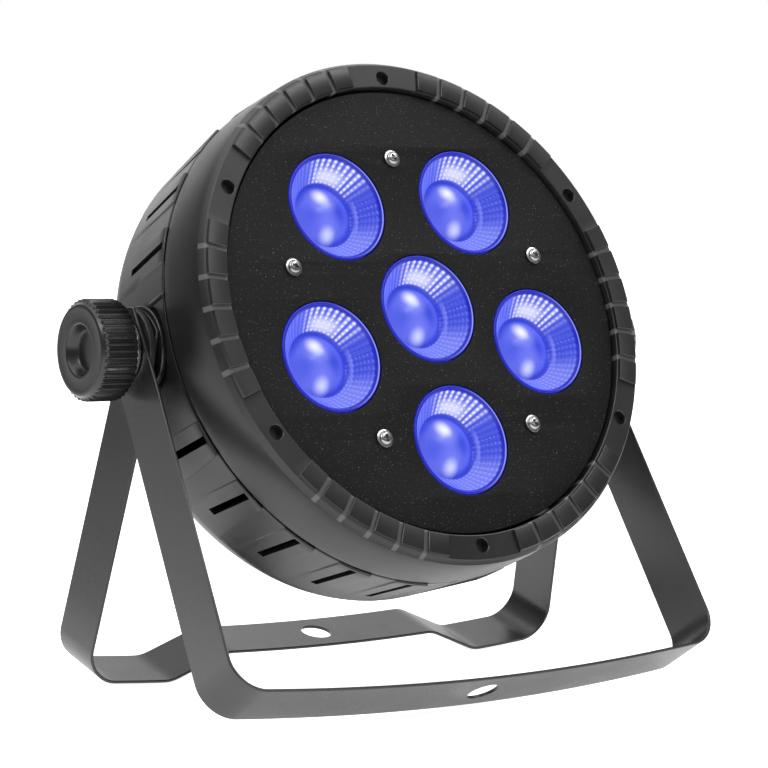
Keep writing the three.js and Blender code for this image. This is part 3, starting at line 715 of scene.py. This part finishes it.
def quarter_columns():
    """Columns of one quarter from the pivot axis: (angle, offset, rise weight, drift weight, kind)."""
    columns = []
    for degrees in (1.0, 2.5, 4.0, 5.5, 7.0, 8.5):
        columns.append((degrees, 0.0, 0.0, 0.0, ""))
    for shift, rise in ((-1.1, 0.0), (-0.55, 0.75), (0.0, 1.0), (0.55, 0.75), (1.1, 0.0)):
        columns.append((RIB_ANGLE, shift, rise, 0.0, "rib"))
    columns += [(12.2, 0.0, 0.0, 0.0, ""), (14.4, 0.0, 0.0, 0.0, ""), (16.2, 0.0, 0.0, 0.0, "")]
    for k in range(5):
        vent = (k + 1.5) * VENT_PITCH
        near, far = vent - PANEL_HALF_ANGLE, vent + PANEL_HALF_ANGLE
        columns += [(near, -0.3, 0.0, 0.0, ""), (near, 0.25, 0.55, 0.0, "panel")]
        columns += [(vent - 2.4, 0.0, 0.58, 0.0, "panel")]
        columns += [(vent, -VENT_HALF_WIDTH, 0.64, 0.0, "slot"), (vent, VENT_HALF_WIDTH, 0.76, 0.0, "panel")]
        columns += [(vent + 2.4, 0.0, 0.86, 0.4, "panel")]
        columns += [(far, -0.35, 0.98, 1.0, "panel"), (far, -0.05, 0.94, 1.0, "panel")]
        columns += [(far, 0.0, 0.02, 1.0, ""), (far, 0.3, 0.0, 1.0, "")]
        if k < 4:
            columns += [(far + 3.2, 0.0, 0.0, 0.5, ""), (far + 5.0, 0.0, 0.0, 0.2, "")]
    return columns


def rear_rows():
    """Distances along the beam of the casing's rows, from its front lip to the rear panel's seat."""
    rows = [REAR_LIP[1], REAR_LIP[1] - 0.12, REAR_LIP[1] - 0.4, VENT_SPAN[1]]
    rows += [15.0, 10.0, 5.0, 0.0, -5.0, VENT_SPAN[0], -14.0, -18.0, -20.0, -21.5]
    return rows


def casing_columns():
    """All the columns round the casing. The last number is -1 in the quarters that run backwards."""
    quarter = quarter_columns()
    columns = []
    for start in (0.0, 180.0):
        columns.append((start, 0.0, 0.0, 0.0, "", 1))
        columns += [(start + a, s, r, d, kind, 1) for a, s, r, d, kind in quarter]
        columns.append((start + 90.0, 0.0, 0.0, 0.0, "", 1))
        columns += [(start + 180 - a, -s, r, -d, kind, -1) for a, s, r, d, kind in reversed(quarter)]
    return columns


def column_turn(column, drift_share, radius):
    degrees, shift, _, drift, _, _ = column
    return math.radians(VENT_TURN + degrees + drift * PANEL_DRIFT * drift_share) + math.asin(shift / radius)


def casing_rows(columns):
    rim_start = rear_radius(RIM_FROM)
    corner = [(rim_start, RIM_FROM), (96.4, REAR_BACK, 6.5), (88.0, REAR_BACK)]
    tail = rounded(corner, 6.5, 8, loop=False)[1:-1]
    tail += [(92.0, REAR_BACK), (85.0, REAR_BACK), (REAR_PANEL_RADIUS + 0.45, REAR_BACK)]
    rows = []
    for index, forward in enumerate(rear_rows()):
        along = max(0.0, (forward - REAR_RIM[1]) / (REAR_LIP[1] - REAR_RIM[1]))
        edge = {0: -0.3, 1: -0.1}.get(index, 0.0)
        front_fade = {0: 0.3, 1: 0.45, 2: 0.7}.get(index, 1.0)
        row = []
        for column in columns:
            degrees, _, rise, _, kind, _ = column
            rib_lift = RIB_RISE * min(1.0, along * 6) if degrees < 180 else 0.0
            lift = (rib_lift if kind == "rib" else PANEL_RISE * along) * front_fade
            radius = rear_radius(forward) + rise * lift + edge
            row.append(polar(radius, column_turn(column, 1 - along, radius), forward))
        rows.append(row)
    for radius, forward in tail:
        rows.append([polar(radius, column_turn(column, 1.0, rim_start), forward) for column in columns])
    return rows


def make_rear_casing():
    columns = casing_columns()
    rows = casing_rows(columns)
    points, faces = grid(rows, False, True)
    width = len(columns)
    first, last = rear_rows().index(VENT_SPAN[1]), rear_rows().index(VENT_SPAN[0])
    kept = []
    for face in faces:
        row, column = divmod(face[0], width)
        kind, turn = columns[column][4], columns[column][5]
        neighbour = columns[(column + 1) % width]
        opens = kind == "slot" if turn == 1 else neighbour[4] == "slot" and neighbour[5] == -1
        if not (opens and first <= row < last):
            kept.append(face)
    piece = solid("rear_casing", [(points, kept)], beam_frame)
    wall = piece.modifiers.new("wall", "SOLIDIFY")
    wall.thickness = WALL * MM
    wall.offset = -1.0
    baked(piece)
    radius, outward = SPOTFACE
    faces_cut = []
    disc = revolved([(0, outward), (radius, outward), (radius, 112), (0, 112)], 64)
    hole = revolved([(0, 80), (7.0, 80), (7.0, 112.5), (0, 112.5)], 32)
    for side in (-1, 1):
        for shape, shape_faces in (disc, hole):
            faces_cut.append(([(side * z, x, y) for x, y, z in shape], shape_faces))
    cut(piece, faces_cut)
    finish_piece(piece, casing, ["rear_shell"], sharp=24.0)


make_rear_casing()

# The neck behind the dark seam, which the band slides over.
NECK = [(96.4, 17.0), (99.0, 17.0), (99.0, 23.6), (96.4, 23.6)]
neck = solid("casing_neck", [revolved(rounded(NECK, 0.3, 3), 200)], beam_frame)
finish_piece(neck, casing)

# ---- front plate

PLATE_TURN = 2.6
PLATE_RADIUS = 88.8
PLATE_SPAN = (42.7, 44.7)
LENS_OPENING = 21.8
LENS_CIRCLE = 52.4
PLATE_SCREW_CIRCLE = 60.9
lens_places = [on_circle(LENS_CIRCLE, 54 + PLATE_TURN + 72 * k) for k in range(5)] + [(0.0, 0.0)]
plate_screw_places = [on_circle(PLATE_SCREW_CIRCLE, 90 + PLATE_TURN + 72 * k) for k in range(5)]

holes = [circle(x, y, LENS_OPENING, 96) for x, y in lens_places]
holes += [circle(x, y, 2.0, 24) for x, y in plate_screw_places]
face_plate = sheet_plate("face_plate", circle(0, 0, PLATE_RADIUS, 256), holes, *PLATE_SPAN, 0.25)
finish_piece(face_plate, face_paint, ["front_plate"])

# ---- lenses


def lens_surface():
    """Rows of the lens from its rim inwards: (radius, forward, rib height)."""
    rows = [(LENS_RIM, 40.4, 0), (LENS_RIM, RIM_FORWARD - 0.3, 0), (LENS_RIM - 0.1, RIM_FORWARD - 0.08, 0)]
    rows += [(LENS_RIM - 0.35, RIM_FORWARD, 0), (LENS_RING + 0.35, RIM_FORWARD, 0)]
    rows += [(LENS_RING + 0.1, RIM_FORWARD - 0.1, 0), (LENS_RING, RIM_FORWARD - 0.35, 0)]
    wall_steps = 42
    for k in range(wall_steps + 1):
        share = k / wall_steps
        radius = LENS_RING - 0.15 + (LENS_VALLEY - LENS_RING + 0.15) * share
        forward = RIM_FORWARD - 0.6 + (VALLEY_FORWARD - RIM_FORWARD + 0.6) * share ** 0.92
        length = share * math.hypot(LENS_RING - LENS_VALLEY, RIM_FORWARD - VALLEY_FORWARD)
        bead = 0.09 * math.cos(2 * math.pi * length / LENS_BEAD)
        fade = min(1.0, share * 12, (1 - share) * 6)
        rows.append((radius, forward + bead * fade, 0.2 * fade))
    for k in range(1, 14):
        share = k / 14
        radius = LENS_VALLEY * (1 - share)
        lift = math.sin(share * math.pi / 2) ** 0.8
        forward = VALLEY_FORWARD - 0.25 * (1 - share) + (DOME_FORWARD - VALLEY_FORWARD) * lift
        rows.append((radius, forward, 0))
    return rows


# The lens's back: a cone from its rim to LENS_BACK[2], closed by a fan of triangles from LENS_BACK_TIP.
# The first two rows only carry a loose sheet inside the solid lens.
LENS_BACK = [(19.6, 40.2), (12.6, 25.0), (6.4, 16.5)]
LENS_BACK_TIP = 18.5


def make_lens(index, place):
    segments = LENS_RIBS * 6
    turns = [2 * math.pi * k / segments for k in range(segments)]
    rows = [hoop(radius, forward, segments) for radius, forward in LENS_BACK]
    for radius, forward, rib in lens_surface():
        rows.append([polar(radius, turn, forward + rib * math.sin(LENS_RIBS * turn)) for turn in turns])
    points, faces = grid(rows, False, True)
    points += [(0.0, 0.0, DOME_FORWARD), (0.0, 0.0, LENS_BACK_TIP)]
    faces += fan(len(points) - 2, (len(rows) - 1) * segments, segments)
    faces += fan(len(points) - 1, 2 * segments, segments)
    piece = solid(f"lens_optic_{index}", [(points, faces)], beam_point(*place))
    finish_piece(piece, lit_lens, [f"lens_{index}"], sharp=60.0)


for number, place in enumerate(lens_places, 1):
    make_lens(number, place)

# ---- screws


def cross_recess(low, high, reach=1.7, half_width=0.46):
    """The four-armed recess of a cross-head screw, narrowing towards its bottom."""
    arms = []
    for turned in (False, True):
        layers = []
        for height, share in ((low, 0.35), (high, 1.0)):
            a, b = reach * share, half_width
            corners = [(-a, -b), (a, -b), (a, b), (-a, b)]
            layers.append([(y, x, height) if turned else (x, y, height) for x, y in corners])
        points, faces = grid(layers, False, True)
        arms.append((points, faces + [(0, 1, 2, 3), (4, 5, 6, 7)]))
    return arms


def make_screw(name, node, place, seat, head_radius, washer_radius, tip, turn):
    """A pan head screw standing on seat, with a pressed washer if washer_radius is larger than its head."""
    profile = [(0, tip), (1.4, tip), (1.6, tip + 0.4), (1.6, seat)]
    top = seat + 2.0
    if washer_radius > head_radius:
        profile += [(washer_radius, seat), (washer_radius, seat + 0.5)]
        profile += [(washer_radius - 0.3, seat + 0.62), (head_radius, seat + 0.7)]
    else:
        profile += [(head_radius, seat)]
    profile += [(head_radius, top - 1.0), (head_radius - 0.12, top - 0.65), (head_radius - 0.45, top - 0.3)]
    profile += [(head_radius - 1.0, top - 0.08), (0.8, top), (0, top)]
    x, y = place
    matrix = beam_point(x, y) @ Matrix.Rotation(math.radians(turn), 4, "Z")
    piece = solid(name, [revolved(profile, 40)], matrix)
    cut(piece, cross_recess(top - 1.4, top + 0.4))
    finish_piece(piece, zinc, [node])


for number, place in enumerate(plate_screw_places, 1):
    make_screw(f"face_screw_{number}", f"plate_screw_{number}", place, 45.0, 2.6, 3.45, 36.0, 31.0 * number)

bezel_screws = {f"bezel_screw_{k + 1}": on_circle(SCREW_CIRCLE, 90 + 60 * k) for k in range(6)}
for number, (node, place) in enumerate(bezel_screws.items(), 1):
    make_screw(f"deep_screw_{number}", node, place, 36.3, 2.35, 0.0, 25.0, 47.0 * number)

# ---- brackets

STRIP_HALF = 0.6
STRIP_WIDTH = 25.0
EDGE = 0.28
BEND_RADIUS = 12.0
ARM_TOP = 15.0
ARM_SHOULDER = 10.8
BOLT_HOLE = 6.3
STUD_HOLE = 4.4
FRONT_ARM = {"pivot": 108.6, "bar": 113.5, "reach": 142.4, "bow": 6.1}
REAR_ARM = {"pivot": 104.2, "bar": 112.3, "reach": 128.6, "bow": 5.8}
REAR_JOG = {"rise": 11.3, "top": 51.0, "foot": 75.0}


def bar_line(arm, jog):
    """Centre line of the right half of the bar, as (x, z) from its middle outwards."""

    def bow(x):
        return arm["bow"] * (1 - (x / arm["bar"]) ** 2)

    base = -arm["reach"] + STRIP_HALF
    last = arm["bar"] - BEND_RADIUS
    if not jog:
        return [(x - STRIP_HALF * (x > 0), base - bow(x)) for x in [last * k / 16 for k in range(17)]]
    top = [jog["top"] * k / 8 for k in range(9)]
    raised = [(x - STRIP_HALF * (x > 0), base - bow(x) + jog["rise"]) for x in top]
    low = [(x - STRIP_HALF, base - bow(x)) for x in (jog["foot"], 82.0, 89.0, last)]
    line = raised[:-1] + [(*raised[-1], 9.0)] + [(*low[0], 9.0)] + low[1:]
    return rounded(line, 0.0, 6, loop=False)


def arm_line(arm, jog):
    """Centre line of the right half of a bracket with the half width of its strip: (x, z, half width)."""
    slant = math.atan2(arm["bar"] - arm["pivot"], arm["reach"])
    centre_x, centre_z = arm["bar"] - STRIP_HALF - BEND_RADIUS, -arm["reach"] + STRIP_HALF + BEND_RADIUS
    turn_end = math.pi / 2 + slant * 0.5
    drop = arm["bow"] * (1 - ((arm["bar"] - BEND_RADIUS) / arm["bar"]) ** 2)
    bend = []
    for k in range(1, 19):
        turn = turn_end * k / 18
        sag = drop * (1 - math.sin(turn))
        bend.append((centre_x + BEND_RADIUS * math.sin(turn), centre_z - BEND_RADIUS * math.cos(turn) - sag))
    x = arm["pivot"] - STRIP_HALF
    start = Vector(bend[-1])
    straight = [tuple(start.lerp(Vector((x, -20.0)), k / 6)) for k in range(1, 6)]
    straight += rounded([straight[-1], (x, -20.0, 8.0), (x, -4.0)], 8.0, 4, loop=False)[1:]
    half = STRIP_WIDTH / 2
    line = [(px, pz, half) for px, pz in bar_line(arm, jog) + bend + straight]
    line += [(x, 4.0, half), (x, ARM_SHOULDER, half)]
    for k in range(1, 13):
        t = k / 12
        width = half * (1 - t) ** 2 + 2 * (1 - t) * t * half * 0.55
        height = ARM_SHOULDER * (1 - t) ** 2 + 2 * (1 - t) * t * ARM_TOP + ARM_TOP * t * t
        line.append((x, height, max(width, 0.45)))
    return line


def make_bracket(name, node, arm, jog, mount):
    right = arm_line(arm, jog)
    line = [(-x, z, w) for x, z, w in reversed(right[1:])] + right
    rows = []
    for i, (x, z, width) in enumerate(line):
        before = Vector(line[max(i - 1, 0)][:2])
        after = Vector(line[min(i + 1, len(line) - 1)][:2])
        along = after - before
        if along.length < 1e-6:
            along = Vector((0, 1))
        along.normalize()
        normal = Vector((-along.y, along.x))
        t, w, e = STRIP_HALF, width, min(EDGE, width * 0.5)
        section = [(-t, -w + e), (-t, w - e), (-t + e, w), (t - e, w)]
        section += [(t, w - e), (t, -w + e), (t - e, -w), (-t + e, -w)]
        rows.append([(x + normal.x * n, y, z + normal.y * n) for n, y in section])
    points, faces = grid(rows, False, True)
    count = len(rows[0])
    faces.append(tuple(range(count)))
    faces.append(tuple(range(len(points) - count, len(points))))
    place = Matrix.Translation(pivot) @ Matrix.Rotation(swing_of(mount), 4, "X")
    piece = solid(name, [(points, faces)], place)
    bolt_points, bolt_faces = revolved([(0, -160), (BOLT_HOLE, -160), (BOLT_HOLE, -100), (0, -100)], 64)
    stud_points, stud_faces = revolved([(0, -120), (STUD_HOLE, -120), (STUD_HOLE, 120), (0, 120)], 40)
    cut(piece, [(bolt_points, bolt_faces), ([(z, x, y) for x, y, z in stud_points], stud_faces)])
    finish_piece(piece, painted, [node], node, 30.0)


make_bracket("front_stirrup", "front_bracket", FRONT_ARM, None, "front_clamp_face")
make_bracket("rear_stirrup", "rear_bracket", REAR_ARM, REAR_JOG, "rear_clamp_face")

# ---- knobs and pivot stack

FLUTES = 44
FLUTE_DEPTH = 1.3
KNOB_BORE = (4.4, 121.3)
KNOB_DISH = 124.05
KNOB_ROWS = [
    (4.4, 110.9, 0.0), (9.9, 110.9, 0.0), (10.4, 111.1, 0.0), (10.5, 111.6, 0.0), (10.5, 113.2, 0.0),
    (11.2, 113.5, 0.0), (16.8, 113.5, 0.0), (17.9, 113.7, 0.3), (18.6, 114.2, 0.8), (18.9, 114.9, 1.0),
    (18.9, 118.0, 1.0), (18.9, 122.0, 1.0), (18.9, 125.8, 1.0), (18.75, 126.3, 0.85), (18.3, 126.7, 0.5),
    (17.75, 126.95, 0.12), (17.45, 127.1, 0.0), (17.2, 127.45, 0.0), (16.9, 127.9, 0.0), (16.6, 128.18, 0.0),
    (16.2, 128.3, 0.0), (15.4, 128.22, 0.0), (13.0, 128.1, 0.0), (10.6, 128.15, 0.0), (10.1, 128.2, 0.0),
    (9.75, 128.08, 0.0), (9.55, 127.8, 0.0), (8.9, 126.2, 0.0), (8.1, 124.7, 0.0), (7.8, 124.2, 0.0),
    (7.4, 124.0, 0.0), (6.0, 124.0, 0.0), (2.5, 124.05, 0.0),
]


def make_knob(side, name):
    segments = FLUTES * 8
    turns = [2 * math.pi * k / segments for k in range(segments)]
    rows = [hoop(KNOB_BORE[0], KNOB_BORE[1], segments)]
    for radius, outward, weight in KNOB_ROWS:
        row = []
        for turn in turns:
            valley = (0.5 - 0.5 * math.cos(FLUTES * turn)) ** 0.6
            row.append(polar(radius - FLUTE_DEPTH * weight * valley, turn, outward))
        rows.append(row)
    points, faces = grid(rows, False, True)
    points += [(0.0, 0.0, KNOB_BORE[1]), (0.0, 0.0, KNOB_DISH)]
    faces += fan(len(points) - 2, 0, segments)
    faces += fan(len(points) - 1, (len(rows) - 1) * segments, segments)
    piece = solid(name + "_fluted_knob", [(points, faces)], side_frame(side))
    finish_piece(piece, knob_black, [name + "_knob"], name + "_knob", 40.0)


def make_stack_ring(side, name, what, radii, span, soft, paint, body):
    inner, outer = radii
    low, high = span
    profile = rounded([(inner, low), (outer, low, soft), (outer, high, soft), (inner, high)], 0.2, 5)
    node = f"{name}_{what}"
    piece = solid(node + "_ring", [revolved(profile, 128)], side_frame(side))
    finish_piece(piece, paint, [node], body)


for side, name in ((-1, "left"), (1, "right")):
    make_knob(side, name)
    make_stack_ring(side, name, "boss_disc", (4.6, 16.2), (99.5, 102.7), 0.9, knob_black, "head")
    make_stack_ring(side, name, "spacer", (4.6, 15.1), (104.5, 107.1), 0.6, rubber, "front_bracket")
    make_stack_ring(side, name, "knob_washer", (4.6, 12.0), (108.9, 110.5), 0.3, zinc,
                    name + "_clamp_washer")

# ---- rear panel

PANEL_SPAN = (REAR_BACK, REAR_BACK + 1.5)
DISPLAY_AT = 36.0
DISPLAY_SIZE = (44.0, 18.0)
BUTTON_AT = 16.0
BUTTON_RADIUS = 3.4
button_offsets = [-27.0, -9.0, 9.0, 27.0]
POWER_AT = -10.0
SIGNAL_AT = -44.0
SOCKET_OFFSET = 22.0
POWER_BODY = (28.0, 20.4)
SIGNAL_RADIUS = 11.0

panel_holes = [rectangle(0, DISPLAY_AT, *DISPLAY_SIZE, 1.2)]
panel_holes += [circle(x, BUTTON_AT, BUTTON_RADIUS + 0.3, 40) for x in button_offsets]
panel_holes += [rectangle(x, POWER_AT, *POWER_BODY, 1.0) for x in (-SOCKET_OFFSET, SOCKET_OFFSET)]
panel_holes += [circle(x, SIGNAL_AT, SIGNAL_RADIUS + 0.3, 64) for x in (-SOCKET_OFFSET, SOCKET_OFFSET)]
panel_edge = circle(0, 0, REAR_PANEL_RADIUS, 200)
back_panel = sheet_plate("back_panel", panel_edge, panel_holes, *PANEL_SPAN, 0.2)
finish_piece(back_panel, face_paint, ["rear_panel"])


def rear_screw(name, x, y, seat, radius):
    """A small pan head screw on the back, facing backwards."""
    top = 1.5
    profile = [(0, -1.0), (radius * 0.5, -1.0), (radius * 0.5, 0), (radius, 0), (radius, top - 0.75),
               (radius * 0.93, top - 0.45), (radius * 0.7, top - 0.12), (radius * 0.3, top), (0, top)]
    flipped = beam_point(x, y, seat) @ Matrix.Rotation(math.pi, 4, "X")
    piece = solid(name, [revolved(profile, 32)], flipped)
    cut(piece, cross_recess(top - 0.9, top + 0.4, radius * 0.6, 0.28))
    finish_piece(piece, zinc)


for k in range(6):
    x, y = on_circle(70.0, 30 + 60 * k)
    rear_screw(f"panel_screw_{k + 1}", x, y, REAR_BACK, 2.7)

pane = rectangle(0, DISPLAY_AT, DISPLAY_SIZE[0] - 0.6, DISPLAY_SIZE[1] - 0.6, 1.0)
window = solid("display_pane", [prism(pane, -28.4, -25.8, 0.3)], beam_frame)
finish_piece(window, smoked_window, ["display_window"])

DIGIT_LIT = ["abcdef", "abcdef", "bc"]
SEGMENTS = {
    "a": (0, 5.2, 5.2, 1.1), "g": (0, 0, 5.2, 1.1), "d": (0, -5.2, 5.2, 1.1), "b": (3.1, 2.6, 1.1, 4.2),
    "c": (3.1, -2.6, 1.1, 4.2), "e": (-3.1, -2.6, 1.1, 4.2), "f": (-3.1, 2.6, 1.1, 4.2),
}
DIGIT_PITCH = 10.5
segments = []
for k, lit in enumerate(DIGIT_LIT):
    for key in lit:
        dx, dy, width, height = SEGMENTS[key]
        bar = rectangle((1 - k) * DIGIT_PITCH - dx, DISPLAY_AT + dy, width, height, 0.4)
        segments.append(prism(bar, -28.55, -28.35, 0.05))
digits = solid("display_digits", segments, beam_frame)
finish_piece(digits, display_red)

# The menu button's section, with the backward distance as its height: the button, its flange and its stem.
BUTTON_PROFILE = [
    (0, 24.2), (1.6, 24.2), (1.6, 25.4), (4.6, 25.4), (4.6, 26.2), (BUTTON_RADIUS, 26.2),
    (BUTTON_RADIUS, 28.7), (BUTTON_RADIUS - 0.25, 29.1), (BUTTON_RADIUS - 0.7, 29.3), (1.6, 29.42),
    (0, 29.4),
]
for number, x in enumerate(button_offsets, 1):
    place = beam_point(x, BUTTON_AT) @ Matrix.Rotation(math.pi, 4, "X")
    piece = solid(f"menu_key_{number}", [revolved(BUTTON_PROFILE, 40)], place)
    finish_piece(piece, button_grey, [f"menu_button_{number}"], f"menu_button_{number}")

# ---- sockets

FLANGE_SPAN = (REAR_BACK - 2.3, REAR_BACK - 0.3)
MAINS_CONTACTS = [(-7.0, -1.0), (7.0, -1.0), (0.0, 4.0)]


def mains_outline(x, y, width, height, chamfer):
    """The usual mains connector outline: a rectangle with its two upper corners cut off."""
    w, h = width / 2, height / 2
    corners = [(x - w, y - h), (x + w, y - h), (x + w, y + h - chamfer), (x + w - chamfer, y + h),
               (x - w + chamfer, y + h), (x - w, y + h - chamfer)]
    return rounded(corners, 0.7, 3)


def make_mains(name, node, x, with_blades):
    flange = rectangle(x, POWER_AT, POWER_BODY[0] + 5, POWER_BODY[1] + 5, 2.5)
    opening = mains_outline(x, POWER_AT, 23.0, 15.4, 3.6)
    wall = mains_outline(x, POWER_AT, 25.4, 17.8, 4.2)
    inner = mains_outline(x, POWER_AT, 22.8, 15.2, 3.5)
    contacts = [(x + dx, POWER_AT + dy) for dx, dy in MAINS_CONTACTS]
    slots = [] if with_blades else [rectangle(cx, cy, 2.2, 4.4, 0.3) for cx, cy in contacts]
    plate = sheet_plate(name, flange, [opening], *FLANGE_SPAN, 0.35)
    finish_piece(plate, socket_black, [node])
    shroud = sheet_plate(name + "_shroud", wall, [opening], -28.3, -13.0, 0.2)
    finish_piece(shroud, socket_black)
    core = sheet_plate(name + "_core", inner, slots, -15.4 if with_blades else -28.6, -12.0, 0.2)
    finish_piece(core, socket_black)
    if with_blades:
        blades = [prism(rectangle(cx, cy, 2.0, 4.0, 0.3), -27.0, -15.0, 0.3) for cx, cy in contacts]
        finish_piece(solid(name + "_blades", blades, beam_frame), contact_metal)


make_mains("mains_inlet", "power_inlet", SOCKET_OFFSET, True)
make_mains("mains_outlet", "power_outlet", -SOCKET_OFFSET, False)


def make_signal(name, node, x, with_pins):
    flange = rectangle(x, SIGNAL_AT, 26.0, 29.0, 3.0)
    opening = circle(x, SIGNAL_AT, 9.4, 64)
    plate = sheet_plate(name, flange, [opening], *FLANGE_SPAN, 0.35)
    finish_piece(plate, socket_black, [node])
    tube = rounded([(9.3, -28.4), (10.8, -28.4), (10.8, -12.0), (9.3, -12.0)], 0.2, 2)
    sleeve = solid(name + "_sleeve", [revolved(tube, 64)], beam_point(x, SIGNAL_AT))
    finish_piece(sleeve, socket_black)
    poles = [on_circle(5.0, degrees) for degrees in (0, 90, 180)]
    face = -15.5 if with_pins else -28.8
    holes = [] if with_pins else [circle(x + dx, SIGNAL_AT + dy, 1.4, 20) for dx, dy in poles]
    core = sheet_plate(name + "_core", circle(x, SIGNAL_AT, 9.2, 64), holes, face, -13.0, 0.25)
    finish_piece(core, rubber)
    if with_pins:
        pin = [(0, -27.0), (0.7, -27.0), (1.1, -26.5), (1.2, -26.0), (1.2, -15.0), (0, -15.0)]
        parts = [moved(revolved(pin, 20), x + dx, SIGNAL_AT + dy) for dx, dy in poles]
        pins = solid(name + "_pins", parts, beam_frame)
        finish_piece(pins, contact_metal)
    for k, (dx, dy) in enumerate(((-9.6, 11.2), (9.6, -11.2)), 1):
        rear_screw(f"{name}_screw_{k}", x + dx, SIGNAL_AT + dy, FLANGE_SPAN[0], 1.9)


make_signal("signal_input", "dmx_in_socket", SOCKET_OFFSET, True)
make_signal("signal_output", "dmx_out_socket", -SOCKET_OFFSET, False)

# ---- carried-over CAD nodes

carried = {
    "lens_carrier": moulded,
    "led_board": aluminium,
    "heat_sink": aluminium,
    "power_supply_board": solder_mask,
    "driver_board": solder_mask,
    "display_board": solder_mask,
}
carried.update({f"led_emitter_{k}": emitter_resin for k in range(1, 7)})
for name in ("left", "right"):
    carried[name + "_pivot_insert"] = brass
    carried[name + "_knob_stud"] = zinc
for node, paint in carried.items():
    cad_node = frame["nodes"][node]
    cad_node.data.materials.clear()
    cad_node.data.materials.append(paint)

# ---- floor, light and camera


# Level direction from the camera through the object to the backdrop.
BACKDROP = (0.589, 0.808, 0.0)


def floor_material():
    """Pale floor with a wide glowing lane through the middle, which keeps the ground behind the light white
    and leaves the ground on either side of it dim for the reflections."""
    n = new_material("pale_floor")
    cloud = n.noise(1.5, 3.0)
    n.set(Base_Color=n.mix(cloud, (0.86, 0.86, 0.86, 1), (0.9, 0.9, 0.9, 1)))
    n.set(Roughness=n.remap(cloud, 0.3, 0.7, 0.7, 0.8), Specular_IOR_Level=0.1)

    across = n.math("ABSOLUTE", n.dot((0.808, -0.589, 0.0)))
    outside = n.math("SUBTRACT", across, n.times(n.dot(BACKDROP), 0.16))
    n.set(Emission_Color=(1.0, 1.0, 1.0, 1.0))
    n.set(Emission_Strength=n.remap(outside, 0.2, 0.42, 0.9, 0.1, smooth=True))
    return n.owner


FLOOR_HALF = 12.0
floor_mesh = bpy.data.meshes.new("floor")
floor_corners = [(-FLOOR_HALF, -FLOOR_HALF, 0), (FLOOR_HALF, -FLOOR_HALF, 0), (FLOOR_HALF, FLOOR_HALF, 0),
                 (-FLOOR_HALF, FLOOR_HALF, 0)]
floor_mesh.from_pydata(floor_corners, [], [(0, 1, 2, 3)])
floor_mesh.materials.append(floor_material())
floor = object_of("floor", floor_mesh, Matrix.Translation(Vector((0, 0, cad_box[0].z - 0.0002))))


def studio_world():
    """A white backdrop, seen as plain white and lighting the back of the object, with a dim front."""
    world = bpy.data.worlds.new("studio")
    bpy.context.scene.world = world
    n = Nodes(world, "Background", "Generated")
    behind = n.remap(n.dot(BACKDROP), 0.5, 0.92, 0.0, 1.0, smooth=True)
    above = n.remap(n.dot((0.0, 0.0, 1.0)), 0.1, 0.95, 0.16, 0.75, smooth=True)
    strength = n.add("ShaderNodeMix")
    n.plug(strength.inputs[0], n.add("ShaderNodeLightPath").outputs["Is Camera Ray"])
    n.plug(strength.inputs[2], n.math("ADD", behind, above))
    strength.inputs[3].default_value = 1.0
    n.set(Strength=strength.outputs[0], Color=(1.0, 1.0, 1.0, 1.0))


studio_world()
object_middle = (cad_box[0] + cad_box[1]) / 2


def softbox(name, azimuth, elevation, distance, width, height, power):
    """An area light round the object; azimuth 0 is in front of it, 90 on its right."""
    lamp = bpy.data.lights.new(name, "AREA")
    lamp.shape = "RECTANGLE"
    lamp.size, lamp.size_y = width, height
    lamp.energy = power
    a, e = math.radians(azimuth), math.radians(elevation)
    away = Vector((math.sin(a) * math.cos(e), -math.cos(a) * math.cos(e), math.sin(e)))
    turned = away.to_track_quat("Z", "Y").to_matrix().to_4x4()
    object_of(name, lamp, Matrix.Translation(object_middle + away * distance) @ turned)


softbox("top_softbox", -130.0, 75.0, 1.6, 1.6, 1.2, 9.0)
softbox("left_key", -68.0, 46.0, 1.7, 0.6, 0.5, 7.0)
softbox("right_strip", 105.0, 30.0, 1.7, 0.4, 1.4, 5.0)
softbox("front_strip", 38.0, 52.0, 1.6, 1.5, 0.25, 9.0)

# The camera stands to the light's left and a little above its middle, turned slightly about its axis.
CAMERA_AT = Vector((-594.2, -811.0, 193.4)) * MM
CAMERA_TARGET = Vector((10.18, 15.08, 115.48)) * MM
CAMERA_ROLL = 1.48
camera_data = bpy.data.cameras.new("camera")
camera_data.lens = 121.1
camera_data.sensor_width = 36.0
camera_data.clip_start = 0.05
camera_data.clip_end = 50.0
turn = (CAMERA_TARGET - CAMERA_AT).to_track_quat("-Z", "Y").to_matrix().to_4x4()
roll = Matrix.Rotation(math.radians(CAMERA_ROLL), 4, "Z")
camera = object_of("camera", camera_data, Matrix.Translation(CAMERA_AT) @ turn @ roll)
bpy.context.scene.camera = camera
bpy.context.scene.view_settings.view_transform = "Standard"
